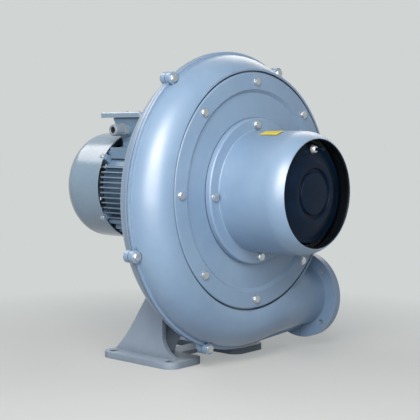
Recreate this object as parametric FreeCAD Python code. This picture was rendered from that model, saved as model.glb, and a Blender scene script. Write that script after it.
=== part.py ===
import FreeCAD, Part
import math
import os
from FreeCAD import Vector

# Industrial blower, all sizes in millimetres.
# The model is drawn about the shaft: the shaft lies on the Y axis, -Y is the inlet side,
# +X is the outlet side, and y = 0 is the plane of the bolt heads on the front cover.
# place() then moves every piece so that the origin is the middle of the foot on the floor.

# Overall layout
FLOOR_CLEARANCE = 25.5
FOOT_CENTRE_Y = 183.0
SEAT_GAP = 0.3
SLIDE_GAP = 0.05
HOLE_PLAY = 0.3

# Scroll casing
SEAM_Y = 54.0
SECTION_R = 54.0
CASING_WALL = 6.0
SPIRAL_MARGIN = 3.0
SPIRAL_RISE = 0.25
TONGUE_ANGLE = -45.0
THROAT_ANGLE = 270.0
SPIRAL_STEPS = 9
RIM_WIDTH = 5.0
RIM_THICK = 5.0
CASING_GASKET_T = 1.0
FRONT_DRUM_MARGIN = 7.0
FRONT_DRUM_Y = 3.0
BACK_DRUM_MARGIN = 12.0
BACK_WALL_Y = 100.0
LUG_R = 11.0
LUG_LENGTH = 11.0
LUG_STANDOFF = 7.0
LUG_ANGLES = (131.0, 201.0, 254.0, 62.0, 5.0)
OUTLET_LUG_X = 172.0

# Outlet
OUTLET_LIFT = 21.5
OUTLET_PIPE_R = 61.0
OUTLET_STRAIGHT_X = 170.0
OUTLET_FACE_X = 221.0
OUTLET_FLANGE_R = 87.0
OUTLET_FLANGE_T = 16.0
OUTLET_BOLT_R = 73.0
OUTLET_HOLE_R = 5.5
OUTLET_STEPS = 3

# Front cover
LAND_Y = 10.0
LAND_T = 12.0
OPENING_MARGIN = 14.0
LAND_WIDTH = 25.0
COVER_GASKET_T = 1.0
COVER_T = 8.0
COVER_EDGE = 3.0
COVER_MARGIN = 3.0
COVER_DISH = 6.0
COVER_DISH_MARGIN = 6.0
COVER_BOLT_MARGIN = 8.0
COVER_BOLTS = 8
EYE_R = 62.0
EYE_DEPTH = 12.0

# Inlet silencer
INLET_GASKET_T = 1.0
INLET_FLANGE_R = 134.0
INLET_FLANGE_T = 11.0
INLET_BOLT_R = 121.5
INLET_BOLTS = 4
INLET_BOLT_TURN = 3.0
INLET_R = 111.5
INLET_DRAFT = 1.5
INLET_WALL = 5.0
INLET_LENGTH = 134.0
LIP_R = 95.0
LIP_EDGE = 2.5
LIP_LENGTH = 33.0
LIP_STRAIGHT = 6.0
LINING_T = 8.0
SLEEVE_T = 1.5
SLEEVE_HOLE_R = 7.0
SLEEVE_HOLES = 9
SLEEVE_ROWS = 3
SPIDER_T = 6.0
SPIDER_ARM_W = 14.0
SPIDER_HUB_R = 16.0
GUIDE_STUD_R = 6.0
CLAMP_ROD_R = 3.0
CLAMP_ROD_PITCH_R = 78.0
CLAMP_PAD_T = 5.0

# Sticker on the silencer
LABEL_T = 0.5
LABEL_FRONT_Y = -79.0
LABEL_BACK_Y = -40.0
LABEL_START_ANGLE = 101.0
LABEL_END_ANGLE = 112.0

# Regulator disc
DISC_R = 88.0
DISC_T = 3.0
DISC_RECESS = 18.0
DISC_DOME = 10.0
DISC_FLAT_R = 56.0
GROOVE_OUT_R = 45.0
GROOVE_IN_R = 37.5
GROOVE_DEPTH = 5.0
DISC_BOSS_R = 13.0
DISC_BOSS_LENGTH = 30.0
REGULATOR_TRAVEL = 12.0
WING_SPAN = 15.0
WING_T = 2.6

# Impeller
IMPELLER_R = 178.0
BACK_PLATE_T = 4.0
SHROUD_T = 2.5
SHROUD_EYE_R = 67.0
SHROUD_EYE_Y = 25.0
SHROUD_TIP_Y = 44.0
BLADES = 10
BLADE_T = 3.0
BLADE_ROOT_R = 76.0
BLADE_ANGLE_IN = 30.0
BLADE_ANGLE_OUT = 62.0
HUB_R = 30.0
HUB_FLANGE_R = 52.0
IMPELLER_BACK_Y = 86.0
HUB_NOSE_Y = 44.0
NUT_AF = 30.0
NUT_T = 12.0
WASHER_T = 3.0
WASHER_R = 20.0
KEY_W = 8.0
KEY_H = 7.0
KEY_SETBACK = 6.0

# Shaft, measured from the nose to the fan end
THREAD_R = 9.5
THREAD_END_Y = 26.0
IMPELLER_SEAT_R = 14.0
DRIVE_SEAT_R = 15.0
CORE_SEAT_R = 19.0
FAN_SEAT_R = 12.5
COOLING_SEAT_R = 10.0
SHAFT_TAIL_LENGTH = 6.0

# Ball bearings, drive end and fan end
DRIVE_BEARING_R = 36.0
DRIVE_BEARING_W = 19.0
DRIVE_BALL_R = 6.0
DRIVE_BALLS = 8
FAN_BEARING_R = 26.0
FAN_BEARING_W = 15.0
FAN_BALL_R = 3.9
FAN_BALLS = 9
RING_SHARE = 0.26
CAGE_T = 1.6
CAGE_SHARE = 1.2
BEARING_LEDGE = 6.0
FAN_BEARING_INSET = 8.0
SEAL_R = 30.0

# Motor
FLANGE_MARGIN = 28.0
FLANGE_T = 14.0
FLANGE_BOLT_INSET = 13.0
FRAME_BORE_R = 82.0
FRAME_WALL = 6.0
FIN_HEIGHT = 15.0
FIN_T = 2.6
FIN_PITCH = 10.0
FIN_SETBACK = 22.0
FINS_BELOW = 6
FRAME_LENGTH = 199.0
PLATFORM_DROP = 10.0
PLATFORM_W = 150.0
PLATFORM_T = 22.0
PLATFORM_SETBACK = 30.0
CORE_SETBACK = 38.0
CORE_LENGTH = 105.0
AIR_GAP = 0.5
ROTOR_R = 50.0
WINDING_OVERHANG = 22.0
WINDING_INSET = 6.0
ROTOR_OVERHANG = 4.0
SHIELD_T = 10.0
SHIELD_BOLT_MARGIN = 7.0
SHIELD_BOLT_REACH = 12.0
SHIELD_BOSS_R = 7.0
SHIELD_BOSS_LENGTH = 30.0
SHIELD_EAR_STEP = 4.0
SPIGOT_LENGTH = 5.0
SPIGOT_WALL = 6.0
COOLING_FAN_INSET = 22.5
COOLING_FAN_GAP = 1.0
COOLING_HUB_LENGTH = 6.0
COOLING_BLADE_T = 2.5
CLIP_T = 1.5
CLIP_GAP = 6.0
COOLING_FAN_DEPTH = 26.0
COOLING_BLADES = 7
COWL_MARGIN = 3.5
COWL_T = 2.0
COWL_START_GAP = 4.0
COWL_LENGTH = 107.0
COWL_SHOULDER = 34.0
COWL_CROWN = 3.0
COWL_SCREW_SETBACK = 6.0
COWL_SCREW_ANGLES = (35.0, 145.0, 215.0, 325.0)
COWL_BRACKET_W = 12.0
GRILLE_SLOTS = 16
GRILLE_ROWS = ((28.0, 44.0), (50.0, 66.0))
GRILLE_SLOT_W = 5.0

# Terminal box
BOX_HALF_W = 56.0
BOX_SETBACK = 65.0
BOX_LENGTH = 76.0
BOX_TAPER = 9.0
BOX_TAPER_BACK = 18.0
BOX_STEP = 2.0
BOX_WALL = 4.0
BOX_HEIGHT = 45.0
LID_GASKET_T = 1.5
LID_T = 10.5
LID_OVER_X = 8.0
LID_OVER_FRONT = 10.0
LID_OVER_BACK = 31.0
LID_CORNER = 7.0
LID_CHAMFER = 2.0
LID_SCREW_INSET = 7.0
LID_POST_R = 6.0
TERMINAL_ROWS = 3
TERMINAL_PITCH = 14.0
TERMINAL_BLOCK_T = 12.0
TERMINAL_STUD_R = 2.0
TERMINAL_NUT_R = 4.0
GLAND_SETBACK = 42.0
GLAND_RISE = 22.0
GLAND_BORE_R = 6.5
GLAND_BODY_R = 11.5
GLAND_LENGTH = 34.0
GLAND_WALL = 2.0
GLAND_HEX_AF = 24.0
GLAND_HEX_T = 10.0
GLAND_NECK = 12.0
GLAND_SPIGOT = 16.0

# Pedestal
PLATE_T = 12.0
PLATE_IN_X = 45.0
PLATE_OUT_X = 137.0
PLATE_FRONT_Y = 88.0
PLATE_BACK_Y = 278.0
PLATE_CORNER = 22.0
WALL_IN_X = 92.0
WALL_T = 10.0
FACE_GAP = 12.0
FACE_T = 10.0
FACE_TOP_Z = -128.0
FACE_LOW_Z = -246.0
WALL_SETBACK = 32.0
WALL_TOP_DEPTH = 24.0
WALL_KNEE_IN = 62.0
WALL_KNEE_UP = 66.0
WALL_BOW_IN = 36.0
WALL_BOW_UP = 31.0
WALL_TOE_IN = 6.0
WALL_HEEL_IN = 20.0
WALL_ANKLE_UP = 34.0
WEB_SETBACK = 52.0
WEB_T = 9.0
WEB_TOP_Z = -215.0
FOOT_SLOT_X = 119.0
FOOT_SLOT_Y = 74.0
FOOT_SLOT_R = 6.5
FOOT_SLOT_LENGTH = 20.0
PEDESTAL_BOLT_X = 76.0
PEDESTAL_BOSS_R = 14.0
PEDESTAL_BOLT_Z = (-146.0, -193.0)
PEDESTAL_BOLT_REACH = 12.0

# Fasteners: shank radius, width across flats, head height
M6 = (3.0, 10.0, 4.0)
M8 = (4.0, 13.0, 5.5)
M10 = (5.0, 16.0, 6.5)
PAN_HEAD_R = 5.5
PAN_HEAD_T = 3.0

# Radii that follow from the impeller, and the heights of the outlet and the shaft
OPENING_R = IMPELLER_R + OPENING_MARGIN
COVER_R = OPENING_R + LAND_WIDTH
COVER_DISH_R = OPENING_R - COVER_DISH_MARGIN
COVER_BOLT_R = OPENING_R + COVER_BOLT_MARGIN
FRONT_DRUM_R = COVER_R + FRONT_DRUM_MARGIN
BACK_DRUM_R = IMPELLER_R + BACK_DRUM_MARGIN
SPIRAL_BASE_R = FRONT_DRUM_R + SPIRAL_MARGIN
SPIRAL_END_R = SPIRAL_BASE_R + SPIRAL_RISE * THROAT_ANGLE
OUTLET_Z = SECTION_R - SPIRAL_END_R + OUTLET_LIFT
AXIS_HEIGHT = SPIRAL_END_R + RIM_WIDTH + FLOOR_CLEARANCE

# Cover and inlet along the shaft
COVER_BACK_Y = LAND_Y - COVER_GASKET_T
COVER_FRONT_Y = COVER_BACK_Y - COVER_T
COVER_CENTRE_Y = COVER_FRONT_Y + COVER_DISH
INLET_BACK_Y = COVER_CENTRE_Y - INLET_GASKET_T
INLET_FACE_Y = INLET_BACK_Y - INLET_FLANGE_T
MOUTH_Y = INLET_FACE_Y - INLET_LENGTH
LIP_START_Y = MOUTH_Y + LIP_LENGTH
LINING_OUT_R = INLET_R - INLET_DRAFT - INLET_WALL - SEAT_GAP
LINING_IN_R = LINING_OUT_R - LINING_T
DISC_FACE_Y = MOUTH_Y + DISC_RECESS
WING_SEAT_Y = DISC_FACE_Y - CLAMP_PAD_T
PLATE_FRONT = IMPELLER_BACK_Y - BACK_PLATE_T

# Motor along the shaft and across it
FLANGE_Y = BACK_WALL_Y
FRAME_START_Y = FLANGE_Y + FLANGE_T
FRAME_END_Y = FRAME_START_Y + FRAME_LENGTH
FRAME_R = FRAME_BORE_R + FRAME_WALL
FIN_TIP_R = FRAME_R + FIN_HEIGHT
FLANGE_R = FRAME_BORE_R + FLANGE_MARGIN
FLANGE_BOLT_R = FLANGE_R - FLANGE_BOLT_INSET
SHIELD_BOLT_R = FRAME_R + SHIELD_BOLT_MARGIN
DRIVE_BEARING_Y = FLANGE_Y + BEARING_LEDGE
FAN_BEARING_Y = FRAME_END_Y - FAN_BEARING_INSET
CORE_START_Y = FRAME_START_Y + CORE_SETBACK
CORE_END_Y = CORE_START_Y + CORE_LENGTH
DRIVE_SHOULDER_Y = DRIVE_BEARING_Y + DRIVE_BEARING_W
SHIELD_END_Y = FRAME_END_Y + SHIELD_T
COWL_R = FIN_TIP_R + COWL_MARGIN
COWL_START_Y = FRAME_END_Y + COWL_START_GAP
COWL_END_Y = COWL_START_Y + COWL_LENGTH
COWL_BRACKET_R = FRAME_R + 1.0
COOLING_FAN_R = COWL_R - COWL_T - COOLING_FAN_INSET
COOLING_FAN_Y = SHIELD_END_Y + COOLING_FAN_GAP + COOLING_HUB_LENGTH
COOLING_FAN_END_Y = COOLING_FAN_Y + COOLING_FAN_DEPTH
SHAFT_TAIL_Y = COOLING_FAN_END_Y + SHAFT_TAIL_LENGTH

# Terminal box above the frame
PLATFORM_Z = FRAME_R - PLATFORM_DROP
BOX_BASE_Z = FRAME_R + BOX_STEP
BOX_TOP_Z = BOX_BASE_Z + BOX_HEIGHT
LID_BASE_Z = BOX_TOP_Z + LID_GASKET_T
BOX_FRONT_Y = FRAME_END_Y - BOX_SETBACK
BOX_BACK_Y = BOX_FRONT_Y + BOX_LENGTH
GLAND_ROOT_X = -BOX_HALF_W
GLAND_Y = BOX_FRONT_Y + GLAND_SETBACK
GLAND_Z = BOX_BASE_Z + GLAND_RISE

# Pedestal between the floor and the rear casing
FLOOR_Z = -AXIS_HEIGHT
PLATE_TOP_Z = FLOOR_Z + PLATE_T
FACE_Y = BACK_WALL_Y + FACE_GAP
WALL_FRONT_Y = FACE_Y + WALL_SETBACK
WEB_Y = FACE_Y + WEB_SETBACK


# Basic solids about the shaft axis

def place(shape):
    """Move a piece from the shaft frame to the foot frame."""
    copy = shape.copy()
    copy.translate(Vector(0, -FOOT_CENTRE_Y, AXIS_HEIGHT))
    return copy


def polar(radius, angle):
    """Point in the XZ plane; angles run from +X towards +Z, in degrees."""
    turn = math.radians(angle)
    return radius * math.cos(turn), radius * math.sin(turn)


def around(shape, angle):
    """Copy of a piece, turned about the shaft in the same sense as polar()."""
    copy = shape.copy()
    copy.rotate(Vector(0, 0, 0), Vector(0, 1, 0), -angle)
    return copy


def moved(shape, x=0.0, y=0.0, z=0.0):
    """Copy of a piece, shifted."""
    copy = shape.copy()
    copy.translate(Vector(x, y, z))
    return copy


def rod(radius, start_y, end_y, x=0.0, z=0.0):
    """Cylinder along Y."""
    low = min(start_y, end_y)
    return Part.makeCylinder(radius, abs(end_y - start_y), Vector(x, low, z), Vector(0, 1, 0))


def ring(outer_r, inner_r, start_y, end_y, x=0.0, z=0.0):
    """Tube along Y."""
    return rod(outer_r, start_y, end_y, x, z).cut(rod(inner_r, start_y - 1, end_y + 1, x, z))


def block(x0, x1, y0, y1, z0, z1):
    """Box between two corners."""
    return Part.makeBox(x1 - x0, y1 - y0, z1 - z0, Vector(x0, y0, z0))


def turned(start, steps):
    """Solid of revolution about the shaft from a closed (radius, y) outline.

    A step is a point, or a pair of points (middle, end) for an arc.
    """
    edges = []
    here = Vector(start[0], start[1], 0)
    for step in list(steps) + [start]:
        if isinstance(step[0], tuple):
            middle = Vector(step[0][0], step[0][1], 0)
            end = Vector(step[1][0], step[1][1], 0)
            edges.append(Part.Arc(here, middle, end).toShape())
        else:
            end = Vector(step[0], step[1], 0)
            if end.distanceToPoint(here) < 1e-6:
                continue
            edges.append(Part.LineSegment(here, end).toShape())
        here = end
    face = Part.Face(Part.Wire(edges))
    return face.revolve(Vector(0, 0, 0), Vector(0, 1, 0), 360)


def prism_y(points, start_y, end_y):
    """Straight prism along Y from (x, z) corner points."""
    corners = [Vector(x, start_y, z) for x, z in points]
    face = Part.Face(Part.makePolygon(corners + corners[:1]))
    return face.extrude(Vector(0, end_y - start_y, 0))


def hexagon(across_flats, start_y, end_y, x=0.0, z=0.0):
    """Hexagonal prism along Y."""
    corner_r = across_flats / math.sqrt(3)
    points = [polar(corner_r, 60 * i) for i in range(6)]
    return prism_y([(x + px, z + pz) for px, pz in points], start_y, end_y)


def hex_bolt(size, face_y, length, x=0.0, z=0.0, toward=1):
    """Hexagon bolt seated at face_y; toward = 1 when its shank points to +Y."""
    shank_r, across_flats, head = size
    crown_y = face_y - toward * head
    cap = hexagon(across_flats, min(face_y, crown_y), max(face_y, crown_y), x, z)
    return cap.fuse(rod(shank_r, face_y, face_y + toward * length, x, z)).removeSplitter()


def on_circle(piece_at, radius, count, turn=0.0):
    """Compound of piece_at(x, z) at equal steps on a circle."""
    spots = [polar(radius, turn + 360.0 * i / count) for i in range(count)]
    return Part.makeCompound([piece_at(x, z) for x, z in spots])


def rods_on_circle(radius, start_y, end_y, pitch_r, count, turn=0.0):
    """Cylinders along Y at equal steps on a circle."""
    return on_circle(lambda x, z: rod(radius, start_y, end_y, x, z), pitch_r, count, turn)


def rounded_plate(x0, x1, y0, y1, z0, z1, corner):
    """Flat plate with rounded upright corners."""
    plate = block(x0, x1, y0, y1, z0, z1)
    upright = [e for e in plate.Edges if abs(e.Vertexes[0].Z - e.Vertexes[1].Z) > (z1 - z0) / 2]
    return plate.makeFillet(corner, upright)


# Scroll casing

def spiral_r(angle):
    """Outer radius of the scroll at the seam."""
    return SPIRAL_BASE_R + SPIRAL_RISE * angle


def scroll_sections(shrink):
    """Round duct sections along the spiral and the outlet pipe."""
    wires = []
    for i in range(SPIRAL_STEPS + 1):
        angle = TONGUE_ANGLE + (THROAT_ANGLE - TONGUE_ANGLE) * i / SPIRAL_STEPS
        x, z = polar(spiral_r(angle) - SECTION_R, angle)
        along = Vector(-z, 0, x)
        circle = Part.makeCircle(SECTION_R - shrink, Vector(x, SEAM_Y, z), along)
        wires.append(Part.Wire(circle))
    throat_z = SECTION_R - spiral_r(THROAT_ANGLE)
    for i in range(1, OUTLET_STEPS + 1):
        share = i / OUTLET_STEPS
        ease = share * share * (3 - 2 * share)
        centre = Vector(OUTLET_STRAIGHT_X * share, SEAM_Y, throat_z + (OUTLET_Z - throat_z) * ease)
        radius = SECTION_R + (OUTLET_PIPE_R - SECTION_R) * ease - shrink
        wires.append(Part.Wire(Part.makeCircle(radius, centre, Vector(1, 0, 0))))
    return wires


def scroll_duct(shrink):
    """Solid duct along the scroll and the straight outlet, smaller than its outside by shrink."""
    scroll = Part.makeLoft(scroll_sections(shrink), True, False)
    end_x = OUTLET_FACE_X + (1 if shrink else 0)
    pipe = Part.makeCylinder(OUTLET_PIPE_R - shrink, end_x - OUTLET_STRAIGHT_X,
                             Vector(OUTLET_STRAIGHT_X, SEAM_Y, OUTLET_Z), Vector(1, 0, 0))
    return scroll.fuse(pipe)


def rim_outline(grow):
    """Outline of the seam rim in the seam plane."""
    points = []
    count = 24
    for i in range(count + 1):
        angle = TONGUE_ANGLE + (THROAT_ANGLE - TONGUE_ANGLE) * i / count
        x, z = polar(spiral_r(angle) + grow, angle)
        points.append(Vector(x, SEAM_Y, z))
    spiral = Part.BSplineCurve()
    spiral.interpolate(points)
    end_x = OUTLET_FACE_X - OUTLET_FLANGE_T / 2
    low = Vector(end_x, SEAM_Y, OUTLET_Z - OUTLET_PIPE_R - grow)
    top = Vector(end_x, SEAM_Y, OUTLET_Z + OUTLET_PIPE_R + grow)
    edges = [spiral.toShape()]
    edges.append(Part.LineSegment(points[-1], low).toShape())
    edges.append(Part.LineSegment(low, top).toShape())
    edges.append(Part.LineSegment(top, points[0]).toShape())
    return Part.Face(Part.Wire(edges))


def lug_spots():
    """Centres of the clamp lugs around the seam rim."""
    spots = [polar(spiral_r(angle) + LUG_STANDOFF, angle) for angle in LUG_ANGLES]
    pipe_edge = OUTLET_PIPE_R + LUG_STANDOFF
    spots.append((OUTLET_LUG_X + LUG_R, OUTLET_Z + pipe_edge))
    return spots


def casing_envelope():
    """Outside of both casing halves as one solid."""
    body = scroll_duct(0.0)
    body = body.fuse(rod(FRONT_DRUM_R, FRONT_DRUM_Y, SEAM_Y))
    body = body.fuse(rod(BACK_DRUM_R, SEAM_Y, BACK_WALL_Y))
    rim = rim_outline(RIM_WIDTH).extrude(Vector(0, 2 * RIM_THICK, 0))
    body = body.fuse(moved(rim, y=-RIM_THICK))
    flange_start = OUTLET_FACE_X - OUTLET_FLANGE_T
    flange = Part.makeCylinder(OUTLET_FLANGE_R, OUTLET_FLANGE_T,
                               Vector(flange_start, SEAM_Y, OUTLET_Z), Vector(1, 0, 0))
    body = body.fuse(flange)
    for x, z in lug_spots():
        body = body.fuse(rod(LUG_R, SEAM_Y - LUG_LENGTH, SEAM_Y + LUG_LENGTH, x, z))
    return body


def casing_cavity():
    """Air space inside the casing, with the front opening and the outlet bore."""
    space = scroll_duct(CASING_WALL)
    space = space.fuse(rod(OPENING_R, FRONT_DRUM_Y - 1, SEAM_Y))
    space = space.fuse(rod(BACK_DRUM_R - CASING_WALL, SEAM_Y, BACK_WALL_Y - CASING_WALL))
    return space


def casing_holes():
    """Clamp bolt holes and outlet flange holes."""
    holes = [rod(M8[0] + HOLE_PLAY, SEAM_Y - 2 * LUG_LENGTH, SEAM_Y + 2 * LUG_LENGTH, x, z)
             for x, z in lug_spots()]
    for i in range(4):
        y, z = polar(OUTLET_BOLT_R, 45 + 90 * i)
        start = Vector(OUTLET_FACE_X - 2 * OUTLET_FLANGE_T, SEAM_Y + y, OUTLET_Z + z)
        holes.append(Part.makeCylinder(OUTLET_HOLE_R, 3 * OUTLET_FLANGE_T, start, Vector(1, 0, 0)))
    return Part.makeCompound(holes)


def casing_pieces():
    """Front casing, rear casing and the gasket in the seam between them."""
    shell = casing_envelope().cut(casing_cavity())
    half_gasket = CASING_GASKET_T / 2
    reach = 2 * spiral_r(THROAT_ANGLE)
    front_room = block(-reach, reach, -reach, SEAM_Y - half_gasket, -reach, reach)
    rear_room = block(-reach, reach, SEAM_Y + half_gasket, reach, -reach, reach)
    seam_room = block(-reach, reach, SEAM_Y - half_gasket, SEAM_Y + half_gasket, -reach, reach)
    gasket = shell.common(seam_room).cut(casing_holes())
    front = shell.common(front_room)
    land = ring(FRONT_DRUM_R, OPENING_R, LAND_Y, LAND_Y + LAND_T)
    front = front.fuse(land)
    front = front.cut(rod(COVER_R + COVER_MARGIN, -reach, LAND_Y))
    tapped = rods_on_circle(M8[0] + SLIDE_GAP, LAND_Y - 1, LAND_Y + LAND_T + 1, COVER_BOLT_R, COVER_BOLTS)
    front = front.cut(tapped).cut(casing_holes())
    rear = shell.common(rear_room)
    for x, z in pedestal_bolt_spots():
        rear = rear.fuse(rod(PEDESTAL_BOSS_R, BACK_WALL_Y - 2 * CASING_WALL, FACE_Y, x, z))
    rear = rear.cut(casing_cavity()).cut(casing_holes())
    rear = rear.cut(rod(SEAL_R, SEAM_Y, FACE_Y))
    rear = rear.cut(rods_on_circle(M10[0] + SLIDE_GAP, SEAM_Y + 20, FACE_Y, FLANGE_BOLT_R, 4, 45))
    for x, z in pedestal_bolt_spots():
        rear = rear.cut(rod(M10[0] + SLIDE_GAP, FACE_Y - PEDESTAL_BOLT_REACH - 2, FACE_Y + 1, x, z))
    return main_solid(front), main_solid(rear), main_solid(gasket)


def main_solid(shape):
    """Largest solid of a shape."""
    return max(shape.Solids, key=lambda solid: solid.Volume)


def clamp_bolts():
    """Bolts through the seam lugs, heads to the front."""
    reach = 2 * LUG_LENGTH + M8[2] + 3
    return Part.makeCompound([hex_bolt(M8, SEAM_Y - LUG_LENGTH, reach, x, z) for x, z in lug_spots()])


def clamp_nuts():
    """Nuts behind the seam lugs."""
    start = SEAM_Y + LUG_LENGTH
    nuts = []
    for x, z in lug_spots():
        nut = hexagon(M8[1], start, start + M8[2], x, z)
        nuts.append(nut.cut(rod(M8[0] + SLIDE_GAP, start - 1, start + 2 * M8[2], x, z)))
    return Part.makeCompound(nuts)


# Front cover and inlet

def front_cover():
    """Dished round cover with the inlet eye."""
    step = COVER_DISH
    bend = COVER_EDGE * (1 - math.sqrt(0.5))
    back_centre_y = COVER_CENTRE_Y + COVER_T
    body = turned((EYE_R, back_centre_y + EYE_DEPTH), [
        ((EYE_R + 3, COVER_CENTRE_Y + 5), (EYE_R + 10, COVER_CENTRE_Y)),
        (COVER_DISH_R - step, COVER_CENTRE_Y),
        (COVER_DISH_R, COVER_FRONT_Y),
        (COVER_R - COVER_EDGE, COVER_FRONT_Y),
        ((COVER_R - bend, COVER_FRONT_Y + bend), (COVER_R, COVER_FRONT_Y + COVER_EDGE)),
        (COVER_R, COVER_BACK_Y),
        (OPENING_R - SEAT_GAP, COVER_BACK_Y),
        (OPENING_R - SEAT_GAP, back_centre_y),
        (EYE_R + 3, back_centre_y),
        (EYE_R + 3, back_centre_y + EYE_DEPTH),
    ])
    body = body.cut(rods_on_circle(M8[0] + HOLE_PLAY, COVER_FRONT_Y - 1, LAND_Y, COVER_BOLT_R, COVER_BOLTS))
    return body.cut(rods_on_circle(M8[0] + SLIDE_GAP, COVER_CENTRE_Y - 1, back_centre_y + 1,
                                   INLET_BOLT_R, INLET_BOLTS, INLET_BOLT_TURN))


def cover_gasket():
    """Flat gasket under the front cover."""
    plate = ring(COVER_R, OPENING_R, COVER_BACK_Y, LAND_Y)
    return plate.cut(rods_on_circle(M8[0] + HOLE_PLAY, COVER_BACK_Y - 1, LAND_Y + 1,
                                    COVER_BOLT_R, COVER_BOLTS))


def cover_bolts():
    """Bolts around the front cover."""
    reach = COVER_T + COVER_GASKET_T + LAND_T - 2
    return on_circle(lambda x, z: hex_bolt(M8, COVER_FRONT_Y, reach, x, z), COVER_BOLT_R, COVER_BOLTS)


def inlet_housing():
    """Silencer housing: flange, slightly tapered barrel and a mouth that curves in."""
    barrel_front_r = INLET_R - INLET_DRAFT
    inner_r = barrel_front_r - INLET_WALL
    drop = barrel_front_r - LIP_R - LIP_EDGE
    curve_r = (LIP_LENGTH ** 2 + drop ** 2) / (2 * drop)
    half_turn = math.asin(LIP_LENGTH / curve_r) / 2
    middle_r = barrel_front_r - curve_r * (1 - math.cos(half_turn))
    middle_y = LIP_START_Y - curve_r * math.sin(half_turn)
    bend = LIP_EDGE * (1 - math.sqrt(0.5))
    body = turned((inner_r, INLET_BACK_Y), [
        (INLET_FLANGE_R, INLET_BACK_Y),
        (INLET_FLANGE_R, INLET_FACE_Y + 3),
        ((INLET_FLANGE_R - 1, INLET_FACE_Y + 1), (INLET_FLANGE_R - 3, INLET_FACE_Y)),
        (INLET_R + 2, INLET_FACE_Y),
        ((INLET_R + 0.6, INLET_FACE_Y - 0.6), (INLET_R, INLET_FACE_Y - 2)),
        (barrel_front_r, LIP_START_Y),
        ((middle_r, middle_y), (LIP_R + LIP_EDGE, MOUTH_Y)),
        ((LIP_R + bend, MOUTH_Y + bend), (LIP_R, MOUTH_Y + LIP_EDGE)),
        (LIP_R, MOUTH_Y + LIP_STRAIGHT),
        (inner_r, LIP_START_Y),
    ])
    return body.cut(rods_on_circle(M8[0] + HOLE_PLAY, INLET_FACE_Y - 1, INLET_BACK_Y + 1,
                                   INLET_BOLT_R, INLET_BOLTS, INLET_BOLT_TURN))


def inlet_gasket():
    """Flat gasket under the silencer flange."""
    inner_r = INLET_R - INLET_DRAFT - INLET_WALL
    plate = ring(INLET_FLANGE_R, inner_r, INLET_BACK_Y, COVER_CENTRE_Y)
    return plate.cut(rods_on_circle(M8[0] + HOLE_PLAY, INLET_BACK_Y - 1, COVER_CENTRE_Y + 1,
                                    INLET_BOLT_R, INLET_BOLTS, INLET_BOLT_TURN))


def inlet_bolts():
    """Bolts that hold the silencer to the cover."""
    reach = INLET_FLANGE_T + INLET_GASKET_T + COVER_T - 1
    return on_circle(lambda x, z: hex_bolt(M8, INLET_FACE_Y, reach, x, z),
                     INLET_BOLT_R, INLET_BOLTS, INLET_BOLT_TURN)


def silencer_lining():
    """Foam ring inside the silencer housing."""
    start = LIP_START_Y + SEAT_GAP
    end = INLET_BACK_Y - SPIDER_T - SEAT_GAP
    return ring(LINING_OUT_R, LINING_IN_R, start, end)


def lining_sleeve():
    """Perforated tube that keeps the foam in place."""
    start = LIP_START_Y + SEAT_GAP
    end = INLET_BACK_Y - SPIDER_T - SEAT_GAP
    outer_r = LINING_IN_R - SLIDE_GAP
    tube = ring(outer_r, outer_r - SLEEVE_T, start, end)
    drills = []
    for row in range(SLEEVE_ROWS):
        y = start + (end - start) * (row + 1) / (SLEEVE_ROWS + 1)
        for i in range(SLEEVE_HOLES):
            hole = Part.makeCylinder(SLEEVE_HOLE_R, 2 * SLEEVE_T + 6,
                                     Vector(outer_r - SLEEVE_T - 3, y, 0), Vector(1, 0, 0))
            drills.append(around(hole, 360.0 * (i + 0.5 * (row % 2)) / SLEEVE_HOLES))
    return tube.cut(Part.makeCompound(drills))


def regulator_spider():
    """Three-armed bracket with the guide stud and the clamp rod of the regulator disc."""
    back = INLET_BACK_Y
    front = back - SPIDER_T
    body = rod(SPIDER_HUB_R, front, back)
    arm_r = INLET_R - INLET_DRAFT - INLET_WALL - SLIDE_GAP
    arm = block(0, arm_r, front, back, -SPIDER_ARM_W / 2, SPIDER_ARM_W / 2)
    for i in range(3):
        body = body.fuse(around(arm, 90 + 120 * i))
    body = body.common(rod(arm_r, front, back))
    disc_back = DISC_FACE_Y + DISC_T
    body = body.fuse(rod(GUIDE_STUD_R, front, disc_back + 1 - DISC_DOME + 6))
    rod_tip = DISC_FACE_Y - REGULATOR_TRAVEL - 16
    body = body.fuse(rod(CLAMP_ROD_R, front, rod_tip, 0, CLAMP_ROD_PITCH_R))
    return body.removeSplitter()


def regulator_disc():
    """Dished disc with a ring groove; it slides on the guide stud."""
    rim = DISC_FACE_Y
    crown = rim - DISC_DOME
    floor = crown + GROOVE_DEPTH
    bore_r = GUIDE_STUD_R + SLIDE_GAP
    body = turned((0, crown), [
        (GROOVE_IN_R - 2, crown),
        (GROOVE_IN_R, crown + 2),
        (GROOVE_IN_R, floor),
        (GROOVE_OUT_R, floor),
        (GROOVE_OUT_R, crown + 2),
        (GROOVE_OUT_R + 2, crown),
        (DISC_FLAT_R, crown),
        (DISC_R - 6, rim),
        (DISC_R, rim),
        (DISC_R, rim + DISC_T),
        (DISC_R - 7, rim + DISC_T),
        (DISC_FLAT_R, floor + DISC_T),
        (DISC_BOSS_R, floor + DISC_T),
        (DISC_BOSS_R, crown + DISC_BOSS_LENGTH),
        (bore_r, crown + DISC_BOSS_LENGTH),
        (bore_r, crown + DISC_T + 1),
        (0, crown + DISC_T + 1),
    ])
    hole = rod(CLAMP_ROD_R + SLIDE_GAP, rim - DISC_DOME, rim + 3 * DISC_T, 0, CLAMP_ROD_PITCH_R)
    pad = rod(3 * CLAMP_ROD_R, WING_SEAT_Y, rim + DISC_T, 0, CLAMP_ROD_PITCH_R)
    return body.fuse(pad).cut(hole)


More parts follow.
